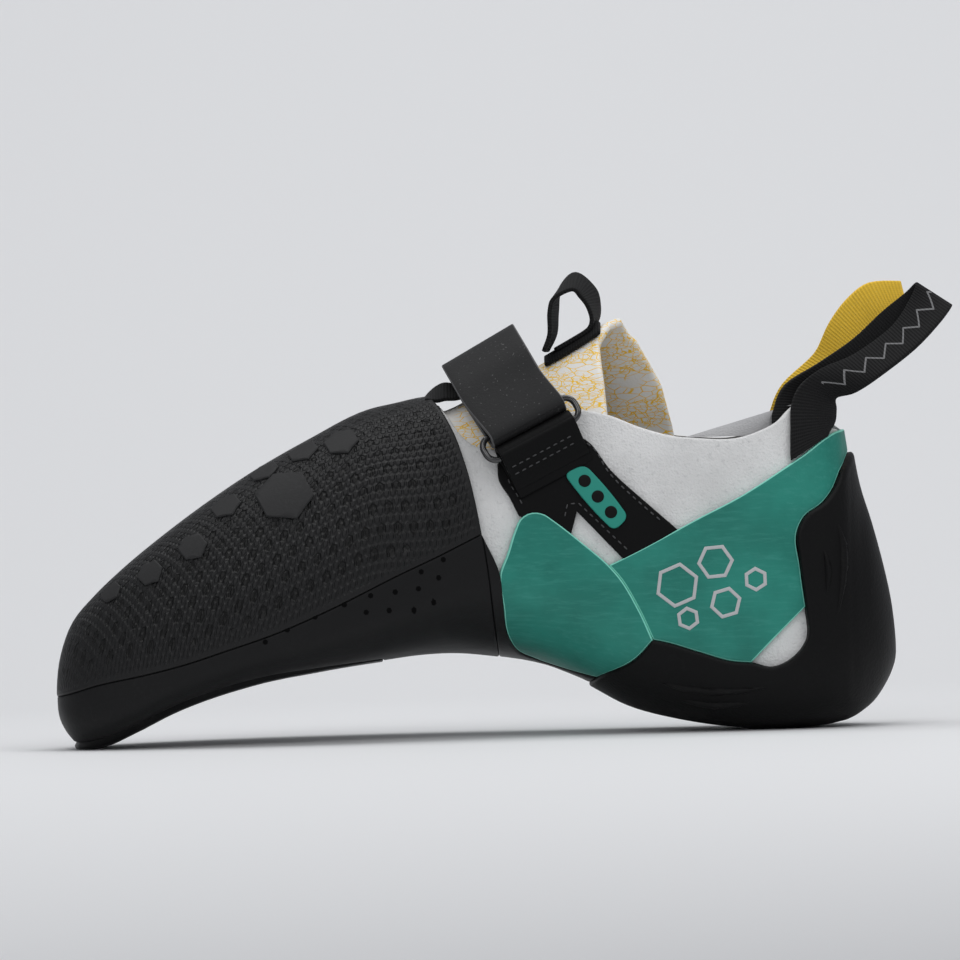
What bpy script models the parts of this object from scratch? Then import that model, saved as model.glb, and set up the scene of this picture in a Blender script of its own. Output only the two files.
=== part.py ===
"""Climbing shoe for the right foot, down-turned and closed by one strap, built as separate pieces.

Frame: metres. The toe points to -X, the inner (medial) side faces -Y, +Z is up, and the floor is z = 0.
The origin is the middle of the flat on which the heel rests.
"""

import math

import bmesh
import bpy
import numpy as np
from mathutils import Vector
from mathutils.bvhtree import BVHTree

# Main sizes of the shoe
SHOE_LENGTH = 0.2362
BALL_WIDTH = 0.0781  # leather upper, without the rubber
HEEL_WIDTH = 0.0530  # leather upper, without the rubber
INSTEP_HEIGHT = 0.1047  # top of the instep above the floor
HEEL_HEIGHT = 0.0935  # top of the heel's leather above the floor
ARCH_RISE = 0.0226  # how far the arch stands above the heel's seat

# Layers, from the inside out
GAP = 0.0003  # between two pieces that lie on each other
UPPER_WALL = 0.0018
TONGUE_WALL = 0.0026
INSOLE_WALL = 0.0022
TOE_RUBBER = 0.0024
RAND_RUBBER = 0.0022
ARCH_RUBBER = 0.0021
HEEL_RUBBER = 0.0030
SOLE_RUBBER = 0.0038
PANEL_RUBBER = 0.0014
ANCHOR_LEATHER = 0.0013
STUD_RISE = 0.0006
HEEL_FLAT_DEPTH = 0.0003  # rubber worn flat where the heel stands

# Strap, ring and webbing
STRAP_WIDTH = 0.0235
STRAP_WALL = 0.0016
STRAP_LIFT = 0.0045  # how far the closed strap stands off the instep
STRAP_LEAN = math.radians(29)
TAB_END = 114  # degrees round the instep, from the ring, at which the folded tab ends
STRAP_END_CLEAR = 0.0018  # between the strap's outer end and the leather under it
TAB_GAP = 0.0008  # between the strap and the part of it that is folded back
RING_LENGTH = 0.0312
RING_HALF = 0.0036  # from the ring's middle to the middle of its bars
RING_OFF_LEATHER = 0.0016
RING_WIRE = 0.0020
RING_CLEAR = 0.0006  # play between the ring's wire and what is folded around it
HEEL_LOOP_WIDTH = 0.0122
HEEL_LOOP_WALL = 0.0013
LOOP_CLEAR = 0.0004  # further off the leather than a flat piece, as the heel is round
KEEPER_WIDTH = 0.0112
KEEPER_WALL = 0.0012
TONGUE_LOOP_WIDTH = 0.0120
TONGUE_LOOP_WALL = 0.0012

HEEL_SEAT_AT = 0.8546  # where along the last the heel rests
LAST_LENGTH = SHOE_LENGTH - 2 * (GAP + TOE_RUBBER)
TOE_X = -HEEL_SEAT_AT * LAST_LENGTH
SEAT_Z = GAP + HEEL_RUBBER - HEEL_FLAT_DEPTH
LOOP_LEVEL = 0.8984 * HEEL_HEIGHT  # about where the heel loops are sewn on

RING_STEP = 0.0090  # spacing of the sections along the last
QUARTER_STEPS = 6  # facets in each quarter of a section
END_CLEAR = 0.0004  # inside the last, sections closer than this to either end are left out
FAR_ASIDE = 2.5 * BALL_WIDTH  # cutters reach this far to each side
FAR_BELOW = BALL_WIDTH / 2  # and this far under the floor

# Sections of the last, from toe to heel. "at" is a share of its length, "top" of the local height and
# "bottom" of the arch's rise above the seat. The widest lines of the inner and outer side are shares of the
# section's own height, and the inner and outer edges are shares of the local width. Ridge and keel lie
# between them, from -1 at the inner one to 1 at the outer one. The last two columns are the roundness of
# the upper and lower half: 2 is an ellipse and more is squarer.
COLUMNS = "at top bottom wide_in wide_out inner outer ridge keel round_top round_bottom".split()
SECTIONS = (
    (0.000, 0.134, 0.487, 0.00, 0.00, -0.192, -0.192, 0.00, 0.00, 2.2, 2.4),
    (0.006, 0.250, 0.190, 0.28, 0.28, -0.314, -0.064, 0.00, 0.00, 2.2, 2.4),
    (0.020, 0.328, 0.020, 0.24, 0.24, -0.371, 0.032, -0.08, 0.00, 2.3, 2.7),
    (0.045, 0.391, 0.070, 0.17, 0.17, -0.416, 0.134, -0.15, 0.00, 2.4, 3.0),
    (0.080, 0.461, 0.225, 0.14, 0.14, -0.448, 0.237, -0.20, 0.00, 2.4, 3.2),
    (0.130, 0.547, 0.460, 0.13, 0.13, -0.474, 0.339, -0.24, 0.00, 2.4, 3.3),
    (0.180, 0.625, 0.637, 0.13, 0.13, -0.492, 0.410, -0.23, 0.00, 2.3, 3.3),
    (0.240, 0.709, 0.788, 0.13, 0.12, -0.503, 0.467, -0.20, 0.00, 2.2, 3.1),
    (0.310, 0.792, 0.876, 0.14, 0.10, -0.497, 0.503, -0.20, 0.05, 2.1, 2.8),
    (0.380, 0.864, 0.942, 0.18, 0.10, -0.465, 0.512, -0.20, 0.20, 2.1, 2.4),
    (0.430, 0.884, 0.991, 0.21, 0.11, -0.423, 0.499, -0.19, 0.35, 2.1, 2.2),
    (0.470, 0.899, 1.000, 0.25, 0.12, -0.385, 0.485, -0.18, 0.44, 2.1, 2.1),
    (0.520, 0.956, 0.951, 0.27, 0.13, -0.358, 0.474, -0.17, 0.44, 2.1, 2.1),
    (0.580, 1.011, 0.841, 0.27, 0.13, -0.353, 0.472, -0.15, 0.38, 2.1, 2.2),
    (0.640, 1.110, 0.597, 0.24, 0.13, -0.371, 0.482, -0.12, 0.28, 2.1, 2.4),
    (0.690, 1.214, 0.320, 0.22, 0.15, -0.407, 0.492, -0.08, 0.18, 2.1, 2.6),
    (0.750, 1.317, 0.145, 0.19, 0.15, -0.460, 0.507, -0.04, 0.08, 2.1, 2.8),
    (0.820, 1.375, 0.031, 0.18, 0.17, -0.496, 0.506, 0.00, 0.00, 2.0, 3.0),
    (0.880, 1.337, 0.000, 0.18, 0.18, -0.500, 0.500, 0.00, 0.00, 1.85, 3.0),
    (0.920, 1.241, 0.027, 0.19, 0.19, -0.464, 0.464, 0.00, 0.00, 1.65, 2.8),
    (0.940, 1.110, 0.065, 0.20, 0.20, -0.423, 0.423, 0.00, 0.00, 1.55, 2.6),
    (0.951, 0.893, 0.097, 0.25, 0.25, -0.389, 0.389, 0.00, 0.00, 1.60, 2.5),
    (0.962, 0.717, 0.160, 0.29, 0.29, -0.347, 0.347, 0.00, 0.00, 1.75, 2.3),
    (0.975, 0.604, 0.265, 0.32, 0.32, -0.283, 0.283, 0.00, 0.00, 1.90, 2.2),
    (0.988, 0.471, 0.450, 0.31, 0.31, -0.196, 0.196, 0.00, 0.00, 2.0, 2.1),
    (0.9955, 0.374, 0.600, 0.30, 0.30, -0.117, 0.117, 0.00, 0.00, 2.0, 2.0),
    (1.000, 0.235, 0.841, 0.00, 0.00, 0.000, 0.000, 0.00, 0.00, 2.0, 2.0),
)

# Lines of the side view, as shares of the last's length and of the local height
COLLAR_LINE = (
    (0.425, 1.30), (0.458, 0.950), (0.463, 0.900), (0.475, 0.866), (0.488, 0.821), (0.507, 0.786),
    (0.530, 0.776), (0.560, 0.790), (0.590, 0.835), (0.615, 0.875), (0.636, 0.893), (0.664, 0.893),
    (0.712, 0.872), (0.746, 0.865), (0.779, 0.869), (0.828, 0.881), (0.852, 0.900), (0.875, 0.928),
    (0.892, 0.966), (0.906, 0.988), (0.918, 0.988), (0.932, 0.965), (0.946, 0.920), (0.960, 0.905),
)
PATCH_REAR = (
    (0.438, 1.04), (0.438, 0.915), (0.454, 0.893), (0.468, 0.862), (0.480, 0.818), (0.493, 0.736),
    (0.503, 0.640), (0.510, 0.547),
)
RAND_REAR = (
    (0.510, 0.547), (0.515, 0.466), (0.520, 0.372), (0.528, 0.263), (0.534, 0.150), (0.534, 0.040),
)
SEAM_LINE = (
    (-0.030, 0.134), (0.007, 0.147), (0.044, 0.172), (0.100, 0.198), (0.149, 0.224), (0.198, 0.257),
    (0.260, 0.301), (0.322, 0.357), (0.408, 0.446), (0.458, 0.494), (0.510, 0.547),
)
FRONT_PANEL_TOP = (
    (0.531, 0.438), (0.541, 0.492), (0.551, 0.553), (0.558, 0.584), (0.567, 0.598), (0.578, 0.602),
    (0.588, 0.597), (0.598, 0.583), (0.635, 0.524), (0.665, 0.471),
)
PANEL_SPLIT = ((0.665, 0.471), (0.677, 0.442), (0.700, 0.355), (0.717, 0.270))
FRONT_PANEL_BOTTOM = (
    (0.717, 0.270), (0.698, 0.224), (0.651, 0.171), (0.613, 0.193), (0.576, 0.221), (0.552, 0.249),
    (0.540, 0.294), (0.535, 0.357), (0.531, 0.438),
)
REAR_PANEL_TOP = (
    (0.665, 0.471), (0.702, 0.520), (0.776, 0.631), (0.826, 0.701), (0.900, 0.815), (0.948, 0.891),
    (0.990, 0.891),
)
REAR_PANEL_BACK = (
    (0.990, 0.838), (0.958, 0.838), (0.946, 0.779), (0.936, 0.719), (0.923, 0.675), (0.902, 0.637),
    (0.894, 0.601),
)
REAR_PANEL_BOTTOM = (
    (0.894, 0.601), (0.896, 0.480), (0.901, 0.368), (0.835, 0.207), (0.814, 0.211), (0.772, 0.238),
    (0.732, 0.264), (0.717, 0.270),
)
HEEL_CUP_FRONT = (
    (0.894, 0.601), (0.895, 0.510), (0.899, 0.419), (0.901, 0.359), (0.901, 0.268), (0.891, 0.233),
    (0.875, 0.204), (0.861, 0.193), (0.835, 0.207),
)
ANCHOR_OUTLINE = (
    (0.526, 0.722), (0.622, 0.825), (0.645, 0.815), (0.674, 0.737), (0.716, 0.654), (0.746, 0.604),
    (0.702, 0.528), (0.682, 0.501), (0.628, 0.612), (0.621, 0.562), (0.598, 0.589), (0.588, 0.603),
    (0.578, 0.608), (0.567, 0.604), (0.557, 0.604), (0.546, 0.645), (0.534, 0.690),
)
STRAP_BASE_OUTLINE = (
    (0.536, 0.690), (0.640, 0.790), (0.700, 0.560), (0.695, 0.525), (0.665, 0.480), (0.635, 0.533),
    (0.598, 0.591), (0.588, 0.605), (0.578, 0.610), (0.567, 0.606), (0.557, 0.604), (0.546, 0.645),
)
# Raised hexagons of the toe patch: place in the side view, radius in metres, and 1 for the outer side
STUDS = (
    (0.273, 0.674, 0.0084, 0), (0.201, 0.647, 0.0046, 0), (0.160, 0.541, 0.0043, 0),
    (0.107, 0.474, 0.0040, 0), (0.058, 0.425, 0.0035, 0), (0.248, 0.736, 0.0046, 0),
    (0.296, 0.787, 0.0047, 0), (0.343, 0.810, 0.0050, 0), (0.300, 0.720, 0.0050, 1),
    (0.240, 0.640, 0.0042, 1), (0.180, 0.540, 0.0038, 1),
)

STUD_TURN = 8  # degrees
STUD_REACH = (-0.004, 0.006)  # below and above the patch, for cutting the studs out
STUD_ROOT = 0.0009  # how deep the studs reach into the patch

HEEL_STEP = ((0.651, 0.171), (0.634, 0.141), (0.634, -0.10))
SOLE_END_AT = 0.385
SOLE_END_SLOPE = (0.003, 0.020)
SOLE_PROUD = 0.0004  # how far the outsole's edge stands out from the rand
SOLE_EDGE = 0.0006  # height of the outsole's upper edge over the last's underside
ACROSS = (-0.5, -0.25, 0, 0.25, 0.5)  # points across a heel loop
ARCH_COVER = 0.0320  # the arch's rubber reaches this height between the panels of the two sides
PANEL_APART = 0.012  # panels are cut from the half of the form beyond this
RING_AT = (0.574, 0.812)  # middle of the ring in the side view
RING_CORNER = 0.0030
# Ends of the fold that holds the ring: how far below the ring, and how far over the anchor's middle layer.
# The first two are the leg next to the shoe, the others the leg over it.
FOLD_LEGS = ((0.0130, 0.0006), (0.0090, 0.0008), (0.0120, ANCHOR_LEATHER + 0.0006), (0.0130, 0.0012))
BADGE_WALL = 0.0008
BADGE_CORNER = 0.0022
BADGE_OUTLINE = ((0.612, 0.708), (0.640, 0.742), (0.692, 0.612), (0.672, 0.565))
TONGUE_AT = 0.667  # where along the last the tongue ends
TONGUE_RISE = 1.1534
# Three points of the plane that ends the tongue: x and y in metres, z from the tongue's level
TONGUE_REAR = ((-0.0433, 0.0, 0.0), (-0.0440, -0.020, -0.0294), (-0.0256, 0.020, -0.0310))
# Heel loop, in metres, x from the origin and z from LOOP_LEVEL. Its foot on the outside of the heel and its
# foot inside the collar are (x, z, lean of its width). Its free part is (x, y, z, lean, slant of its width).
HEEL_LOOP_OUTSIDE = ((0.0128, -0.0053, -0.57), (0.0140, 0.0010, -0.10), (0.0144, 0.0060, 0.15))
HEEL_LOOP_FREE = (
    (0.0168, 0.0145, 0.0108, 0.35, 0.50),
    (0.0225, 0.0150, 0.0135, 0.60, -0.20),
    (0.0305, 0.0155, 0.0175, 0.75, -0.90),
    (0.0410, 0.0140, 0.0250, 0.80, -1.00),
    (0.0475, 0.0105, 0.0325, 0.70, -0.60),
    (0.0500, 0.0070, 0.0367, 0.60, -0.10),
    (0.0470, 0.0045, 0.0340, 0.62, 0.00),
    (0.0395, 0.0050, 0.0280, 0.80, 0.00),
    (0.0310, 0.0062, 0.0205, 0.85, 0.05),
    (0.0215, 0.0085, 0.0148, 0.70, 0.25),
    (0.0122, 0.0108, 0.0112, 0.30, 0.65),
)
HEEL_LOOP_INSIDE = ((0.0105, 0.0060, 0.05), (0.0100, 0.0020, 0.00), (0.0100, -0.0025, 0.00))
# The same for the free part of the loop on the outer side, which arches higher
OUTER_LOOP_FREE = (
    (0.0170, 0.0144, 0.0108, 0.45, 0.55),
    (0.0220, 0.0130, 0.0189, 0.62, 0.35),
    (0.0255, 0.0114, 0.0260, 0.75, 0.20),
    (0.0300, 0.0100, 0.0318, 0.90, 0.05),
    (0.0350, 0.0088, 0.0353, 1.10, 0.00),
    (0.0420, 0.0070, 0.0350, 1.35, 0.00),
    (0.0350, 0.0052, 0.0353, 1.10, 0.00),
    (0.0296, 0.0060, 0.0313, 0.90, 0.05),
    (0.0250, 0.0072, 0.0253, 0.75, 0.15),
    (0.0212, 0.0090, 0.0180, 0.60, 0.35),
    (0.0122, 0.0108, 0.0112, 0.30, 0.65),
)
# Pull loop of the tongue: x, y, z from the tongue's level, and how far the far edge of its width lies
# towards the heel and up
TONGUE_LOOP = (
    (-0.0588, -0.0030, -0.0072, 0.10, 0.00),
    (-0.0570, -0.0025, -0.0029, 0.16, 0.00),
    (-0.0572, -0.0020, 0.0026, 0.20, 0.00),
    (-0.0560, -0.0015, 0.0076, 0.16, 0.20),
    (-0.0512, -0.0005, 0.0110, 0.10, 0.42),
    (-0.0474, 0.0005, 0.0078, 0.38, 0.22),
    (-0.0462, 0.0010, 0.0041, 0.30, 0.05),
    (-0.0470, 0.0010, 0.0004, 0.10, 0.00),
    (-0.0520, 0.0010, -0.0046, 0.00, 0.00),
    (-0.0568, 0.0010, -0.0080, 0.00, 0.00),
)
# Keeper from behind the toe patch to the tongue: share along the last, height over the last, tilt across
KEEPER = (
    (0.4485, 0.0024, 0.05), (0.455, 0.0029, 0.22), (0.463, 0.0032, 0.38), (0.472, 0.0032, 0.42),
    (0.486, 0.0016, 0.35), (0.501, -0.0002, 0.15), (0.512, -0.0011, 0.05),
)
KEEPER_Y = -0.0040

MATERIALS = {
    "leather": ((0.62, 0.62, 0.61), 0.9, 0.0),
    "rubber": ((0.018, 0.018, 0.019), 0.6, 0.0),
    "panel": ((0.012, 0.23, 0.19), 0.45, 0.0),
    "fabric": ((0.80, 0.74, 0.62), 0.85, 0.0),
    "webbing": ((0.012, 0.012, 0.013), 0.7, 0.0),
    "yellow_webbing": ((0.90, 0.52, 0.03), 0.7, 0.0),
    "synthetic": ((0.02, 0.02, 0.021), 0.5, 0.0),
    "wire": ((0.02, 0.02, 0.02), 0.25, 1.0),
    "badge": ((0.02, 0.29, 0.24), 0.4, 0.0),
}


def ease(start, end, value):
    """0 before start, 1 after end, and smooth between them."""
    share = min(1.0, max(0.0, (value - start) / (end - start)))
    return share * share * (3 - 2 * share)


def local_height(at):
    return INSTEP_HEIGHT + (HEEL_HEIGHT - INSTEP_HEIGHT) * ease(0.55, 0.85, at)


def local_width(at):
    return BALL_WIDTH + (HEEL_WIDTH - BALL_WIDTH) * ease(0.45, 0.80, at)


def tongue_level():
    """Height of the tongue's rear top corner."""
    return TONGUE_RISE * local_height(TONGUE_AT)


def x_of(at):
    return TOE_X + at * LAST_LENGTH


def side_point(at, rise):
    """A point of the side view, (x, z), from its two shares."""
    return x_of(at), rise * local_height(at)


def side_line(line):
    return [side_point(at, rise) for at, rise in line]


def section_rows():
    """The table in metres: x, top, bottom, widest lines, edges, ridge, keel, then the two roundnesses."""
    rows = []
    for values in SECTIONS:
        row = dict(zip(COLUMNS, values))
        top = row["top"] * local_height(row["at"])
        bottom = SEAT_Z + row["bottom"] * ARCH_RISE
        if row["at"] in (0.0, 1.0):
            top = bottom
        wide_in = bottom + row["wide_in"] * (top - bottom)
        wide_out = bottom + row["wide_out"] * (top - bottom)
        inner = row["inner"] * local_width(row["at"])
        outer = row["outer"] * local_width(row["at"])
        middle, half = (inner + outer) / 2, (outer - inner) / 2
        ridge, keel = middle + row["ridge"] * half, middle + row["keel"] * half
        rows.append(
            [x_of(row["at"]), top, bottom, wide_in, wide_out, inner, outer, ridge, keel]
            + [row["round_top"], row["round_bottom"]]
        )
    return np.array(rows)


def past_the_end(pole, row):
    """The row that a closed end would have behind it, so that the form turns round there."""
    x, top, bottom, wide_in, wide_out, inner, outer, ridge, keel, round_top, round_bottom = row
    return np.array([x, bottom, top, wide_in, wide_out, outer, inner, ridge, keel, pole[9], pole[10]])


def sections(step=RING_STEP):
    """Rows between the table's own, on smooth curves through them. The first and last row are points."""
    rows = section_rows()
    rows = np.vstack([past_the_end(rows[0], rows[1]), rows, past_the_end(rows[-1], rows[-2])])
    moves = np.diff(rows[:, :7], axis=0)
    lengths = np.sqrt(moves[:, 0] ** 2 + (moves[:, 1:3] ** 2).sum(1) / 2 + (moves[:, 5:7] ** 2).sum(1) / 2)
    places = np.concatenate([[0], np.cumsum(lengths)])
    slopes = np.zeros_like(rows)
    for i in range(1, len(rows) - 1):
        before, after = lengths[i - 1], lengths[i]
        slopes[i] = (
            (rows[i] - rows[i - 1]) / before * after + (rows[i + 1] - rows[i]) / after * before
        ) / (before + after)
    made = []
    for i in range(1, len(rows) - 2):
        span = lengths[i]
        count = max(1, round(span / step))
        for k in range(count):
            t = k / count
            made.append(
                (2 * t**3 - 3 * t**2 + 1) * rows[i]
                + (t**3 - 2 * t**2 + t) * span * slopes[i]
                + (3 * t**2 - 2 * t**3) * rows[i + 1]
                + (t**3 - t**2) * span * slopes[i + 1]
            )
    made.append(rows[-2])
    return np.array(made)


def quarter(roundness, across, up, steps):
    """A quarter of a superellipse from (across, 0) to (0, up), with points spaced by length and turn."""
    angles = np.linspace(0, math.pi / 2, 49)
    power = 2 / roundness
    side = np.abs(np.cos(angles)) ** power * across
    rise = np.abs(np.sin(angles)) ** power * up
    side[-1] = 0.0
    rise[0] = 0.0
    move = np.stack([np.diff(side), np.diff(rise)])
    size = np.hypot(*move)
    turn = np.arctan2(np.abs(move[0]), np.abs(move[1]))
    weight = size / size.sum() + np.gradient(turn) / (math.pi / 2) + 1e-6
    total = np.concatenate([[0], np.cumsum(weight)])
    wanted = np.linspace(0, total[-1], steps + 1)
    return np.interp(wanted, total, side), np.interp(wanted, total, rise)


def section_points(row, steps=QUARTER_STEPS):
    """The section's outline: ridge, inner side, keel, outer side, and back towards the ridge."""
    x, top, bottom, wide_in, wide_out, inner, outer, ridge, keel, round_top, round_bottom = row
    points = []
    quarters = (
        (ridge, wide_in, inner - ridge, top - wide_in, round_top, True),
        (keel, wide_in, inner - keel, bottom - wide_in, round_bottom, False),
        (keel, wide_out, outer - keel, bottom - wide_out, round_bottom, True),
        (ridge, wide_out, outer - ridge, top - wide_out, round_top, False),
    )
    for centre, level, across, up, roundness, from_top in quarters:
        side, rise = quarter(roundness, abs(across), abs(up), steps)
        side, rise = centre + side * np.sign(across), level + rise * np.sign(up)
        pairs = list(zip(side, rise))
        if from_top:
            pairs.reverse()
        points += [(x, y, z) for y, z in pairs[:-1]]
    return points


def form_grid(offset, under=None, step=RING_STEP, steps=QUARTER_STEPS):
    """The last grown by offset, or by under(at) where it looks down: (toe point, rings, heel point)."""
    rows = sections(step)
    rings = np.array([section_points(row, steps) for row in rows[1:-1]])
    toe = np.array([rows[0][0], rows[0][5], rows[0][1]])
    heel = np.array([rows[-1][0], rows[-1][5], rows[-1][1]])
    count = rings.shape[1]
    whole = np.concatenate([[np.tile(toe, (count, 1))], rings, [np.tile(heel, (count, 1))]])
    along = whole[2:] - whole[:-2]
    around = np.roll(rings, -1, axis=1) - np.roll(rings, 1, axis=1)
    normals = np.cross(around, along)
    normals /= np.linalg.norm(normals, axis=2, keepdims=True)
    centres = rings.mean(axis=1, keepdims=True)
    if ((rings - centres) * normals).sum() < 0:
        normals = -normals
    if under is not None:
        down = np.clip((-normals[:, :, 2:] - 0.35) / 0.45, 0, 1)
        below = np.array([under((row[0] - TOE_X) / LAST_LENGTH) for row in rows[1:-1]])[:, None, None]
        offset = offset + (below - offset) * down * down * (3 - 2 * down)
    ends = offset if under is None else offset[0, 0, 0]
    toe, heel = toe - [ends, 0, 0], heel + [ends, 0, 0]
    rings = rings + offset * normals
    if ends >= 0:
        return toe, rings, heel
    along = rings[:, :, 0]
    clear = (along.min(axis=1) > toe[0] + END_CLEAR) & (along.max(axis=1) < heel[0] - END_CLEAR)
    return toe, rings[clear], heel


def form_mesh(offset, under=None, step=RING_STEP, steps=QUARTER_STEPS):
    """(points, faces) of the closed form, its faces pointing out."""
    toe, rings, heel = form_grid(offset, under, step, steps)
    count = rings.shape[1]
    points = [tuple(toe)] + [tuple(p) for ring in rings for p in ring] + [tuple(heel)]
    last = len(points) - 1
    faces = []
    for j in range(count):
        k = (j + 1) % count
        faces.append((0, 1 + k, 1 + j))
        for i in range(len(rings) - 1):
            here, there = 1 + i * count, 1 + (i + 1) * count
            faces.append((here + j, here + k, there + k))
            faces.append((here + j, there + k, there + j))
        end = 1 + (len(rings) - 1) * count
        faces.append((end + j, end + k, last))
    return points, faces


def material(name):
    found = bpy.data.materials.get(name)
    if found:
        return found
    colour, roughness, metallic = MATERIALS[name]
    made = bpy.data.materials.new(name)
    made.use_nodes = True
    shader = made.node_tree.nodes["Principled BSDF"]
    shader.inputs["Base Color"].default_value = (*colour, 1)
    shader.inputs["Roughness"].default_value = roughness
    shader.inputs["Metallic"].default_value = metallic
    return made


def new_object(name, points, faces, finish=None, helper=False):
    mesh = bpy.data.meshes.new(name)
    mesh.from_pydata([tuple(map(float, p)) for p in points], [], faces)
    mesh.update()
    obj = bpy.data.objects.new(name, mesh)
    if helper:
        HELPERS.objects.link(obj)
        obj.hide_render = True
        obj.display_type = "WIRE"
    else:
        SHOE.objects.link(obj)
        mesh.materials.append(material(finish))
    return obj


def as_helper(obj):
    """Moves a piece among the cutters."""
    SHOE.objects.unlink(obj)
    HELPERS.objects.link(obj)
    obj.hide_render = True
    obj.display_type = "WIRE"
    return obj


def face_out(obj):
    """Turns every face of a closed mesh outwards."""
    work = bmesh.new()
    work.from_mesh(obj.data)
    bmesh.ops.recalc_face_normals(work, faces=work.faces)
    work.to_mesh(obj.data)
    work.free()
    return obj


def shell(name, low, high, finish, under=None):
    """The space between two forms, as a piece that outlines are then cut from."""
    outside, faces = form_mesh(high, under)
    inside, inner_faces = form_mesh(low)
    shift = len(outside)
    points = outside + inside
    turned = [tuple(shift + i for i in reversed(face)) for face in inner_faces]
    obj = new_object(name, points, list(faces) + turned, finish)
    work = bmesh.new()
    work.from_mesh(obj.data)
    skin = [face for face in work.faces if face.index < len(faces)]
    volume = sum(face.calc_center_median().dot(face.normal) * face.calc_area() for face in skin)
    if volume < 0:
        bmesh.ops.reverse_faces(work, faces=work.faces)
    work.to_mesh(obj.data)
    work.free()
    return obj


def rounded(outline, radius, pieces=4):
    """The outline with its corners as arcs of about that radius."""
    made = []
    count = len(outline)
    for i, corner in enumerate(outline):
        corner = Vector(corner)
        back, ahead = Vector(outline[i - 1]) - corner, Vector(outline[(i + 1) % count]) - corner
        turn = back.angle(ahead)
        reach = min(radius / max(math.tan(turn / 2), 0.05), 0.45 * back.length, 0.45 * ahead.length)
        start, end = corner + back.normalized() * reach, corner + ahead.normalized() * reach
        for k in range(pieces + 1):
            t = k / pieces
            made.append(tuple((1 - t) ** 2 * start + 2 * t * (1 - t) * corner + t * t * end))
    return made


def inset(outline, by):
    """The closed outline moved inwards by that distance."""
    count = len(outline)
    ahead = outline[1:] + outline[:1]
    area = sum(here[0] * there[1] - there[0] * here[1] for here, there in zip(outline, ahead))
    turn = 1 if area > 0 else -1
    made = []
    for i, corner in enumerate(outline):
        corner = Vector(corner)
        back = (corner - Vector(outline[i - 1])).normalized()
        ahead = (Vector(outline[(i + 1) % count]) - corner).normalized()
        left, right = Vector((-back.y, back.x)) * turn, Vector((-ahead.y, ahead.x)) * turn
        middle = (left + right).normalized()
        made.append(tuple(corner + middle * by / max(0.5, middle.dot(left))))
    return made


def prism(name, outline, low_y=-FAR_ASIDE, high_y=FAR_ASIDE):
    """A cutter: an outline of the side view run across the shoe."""
    count = len(outline)
    points = [(x, low_y, z) for x, z in outline] + [(x, high_y, z) for x, z in outline]
    faces = [tuple(range(count)), tuple(range(2 * count - 1, count - 1, -1))]
    faces += [(i, (i + 1) % count, count + (i + 1) % count, count + i) for i in range(count)]
    return face_out(new_object(name, points, faces, helper=True))


def boolean(obj, other, operation):
    step = obj.modifiers.new(f"{operation.lower()} {other.name}", "BOOLEAN")
    step.operation = operation
    step.object = other
    step.use_self = True
    return obj


def overlay(name, thickness, outline, finish, low_y=-FAR_ASIDE, high_y=FAR_ASIDE, under=None):
    """A piece of that thickness on the upper, trimmed to an outline of the side view."""
    obj = shell(name, GAP, GAP + thickness, finish, under)
    return boolean(obj, prism(f"{name} outline", inset(outline, GAP / 2), low_y, high_y), "INTERSECT")


def cut_at_floor(obj):
    """Takes off what is below the floor, which leaves the flat that the shoe stands on."""
    slab = [(x_of(-0.1), -FAR_BELOW), (x_of(1.2), -FAR_BELOW), (x_of(1.2), 0.0), (x_of(-0.1), 0.0)]
    boolean(obj, prism(f"{obj.name} floor", slab), "DIFFERENCE")


def sheet(name, rows, thickness, finish, offset=0.0):
    """A strip or skin of that thickness on a grid of points."""
    width = len(rows[0])
    points = [p for row in rows for p in row]
    faces = [
        (i * width + j, i * width + j + 1, (i + 1) * width + j + 1, (i + 1) * width + j)
        for i in range(len(rows) - 1)
        for j in range(width - 1)
    ]
    obj = new_object(name, points, faces, finish)
    thick = obj.modifiers.new("thickness", "SOLIDIFY")
    thick.thickness = thickness
    thick.offset = offset
    thick.use_even_offset = True
    return obj


def tree_of(offset):
    """The form's surface for finding points on it."""
    points, faces = form_mesh(offset, None, RING_STEP / 2, QUARTER_STEPS * 2)
    return BVHTree.FromPolygons([Vector(p) for p in points], faces)


def on_side(tree, x, z, outer=False):
    """The point of the form seen at (x, z) from one side, or just under that if it is above the form."""
    side = 1 if outer else -1
    place, normal = None, None
    while place is None:
        place, normal, _, _ = tree.ray_cast(Vector((x, side * FAR_ASIDE, z)), Vector((0, -side, 0)))
        z -= 0.0005
    return place, (normal if normal.y * side > 0 else -normal)


def smooth_path(points, per_span):
    """Points on a smooth curve through the given ones."""
    points = [Vector(p) for p in points]
    points = [2 * points[0] - points[1]] + points + [2 * points[-1] - points[-2]]
    made = []
    for i in range(1, len(points) - 2):
        a, b, c, d = points[i - 1 : i + 3]
        for k in range(per_span):
            t = k / per_span
            square, cube = 2 * a - 5 * b + 4 * c - d, 3 * b - a - 3 * c + d
            made.append((2 * b + (c - a) * t + square * t * t + cube * t**3) / 2)
    made.append(points[-2])
    return made


def make_upper():
    """The leather sock, open at the collar and the throat."""
    obj = shell("upper", -UPPER_WALL, 0.0, "leather")
    line = side_line(COLLAR_LINE)
    roof = 2 * INSTEP_HEIGHT
    outline = line + [(x_of(1.2), line[-1][1]), (x_of(1.2), roof), (line[0][0], roof)]
    return boolean(obj, prism("collar opening", outline), "DIFFERENCE")


def sole_part_line():
    """The outsole's upper edge in the side view, from in front of the tip to where the sole ends."""
    line = [(x_of(-0.05), SEAT_Z + SOLE_EDGE)]
    for at in (0.02, 0.05, 0.09, 0.14, 0.19, 0.25, 0.31, 0.36, SOLE_END_AT):
        line.append((x_of(at), bottom_at(at) + SOLE_EDGE))
    return line


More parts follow.
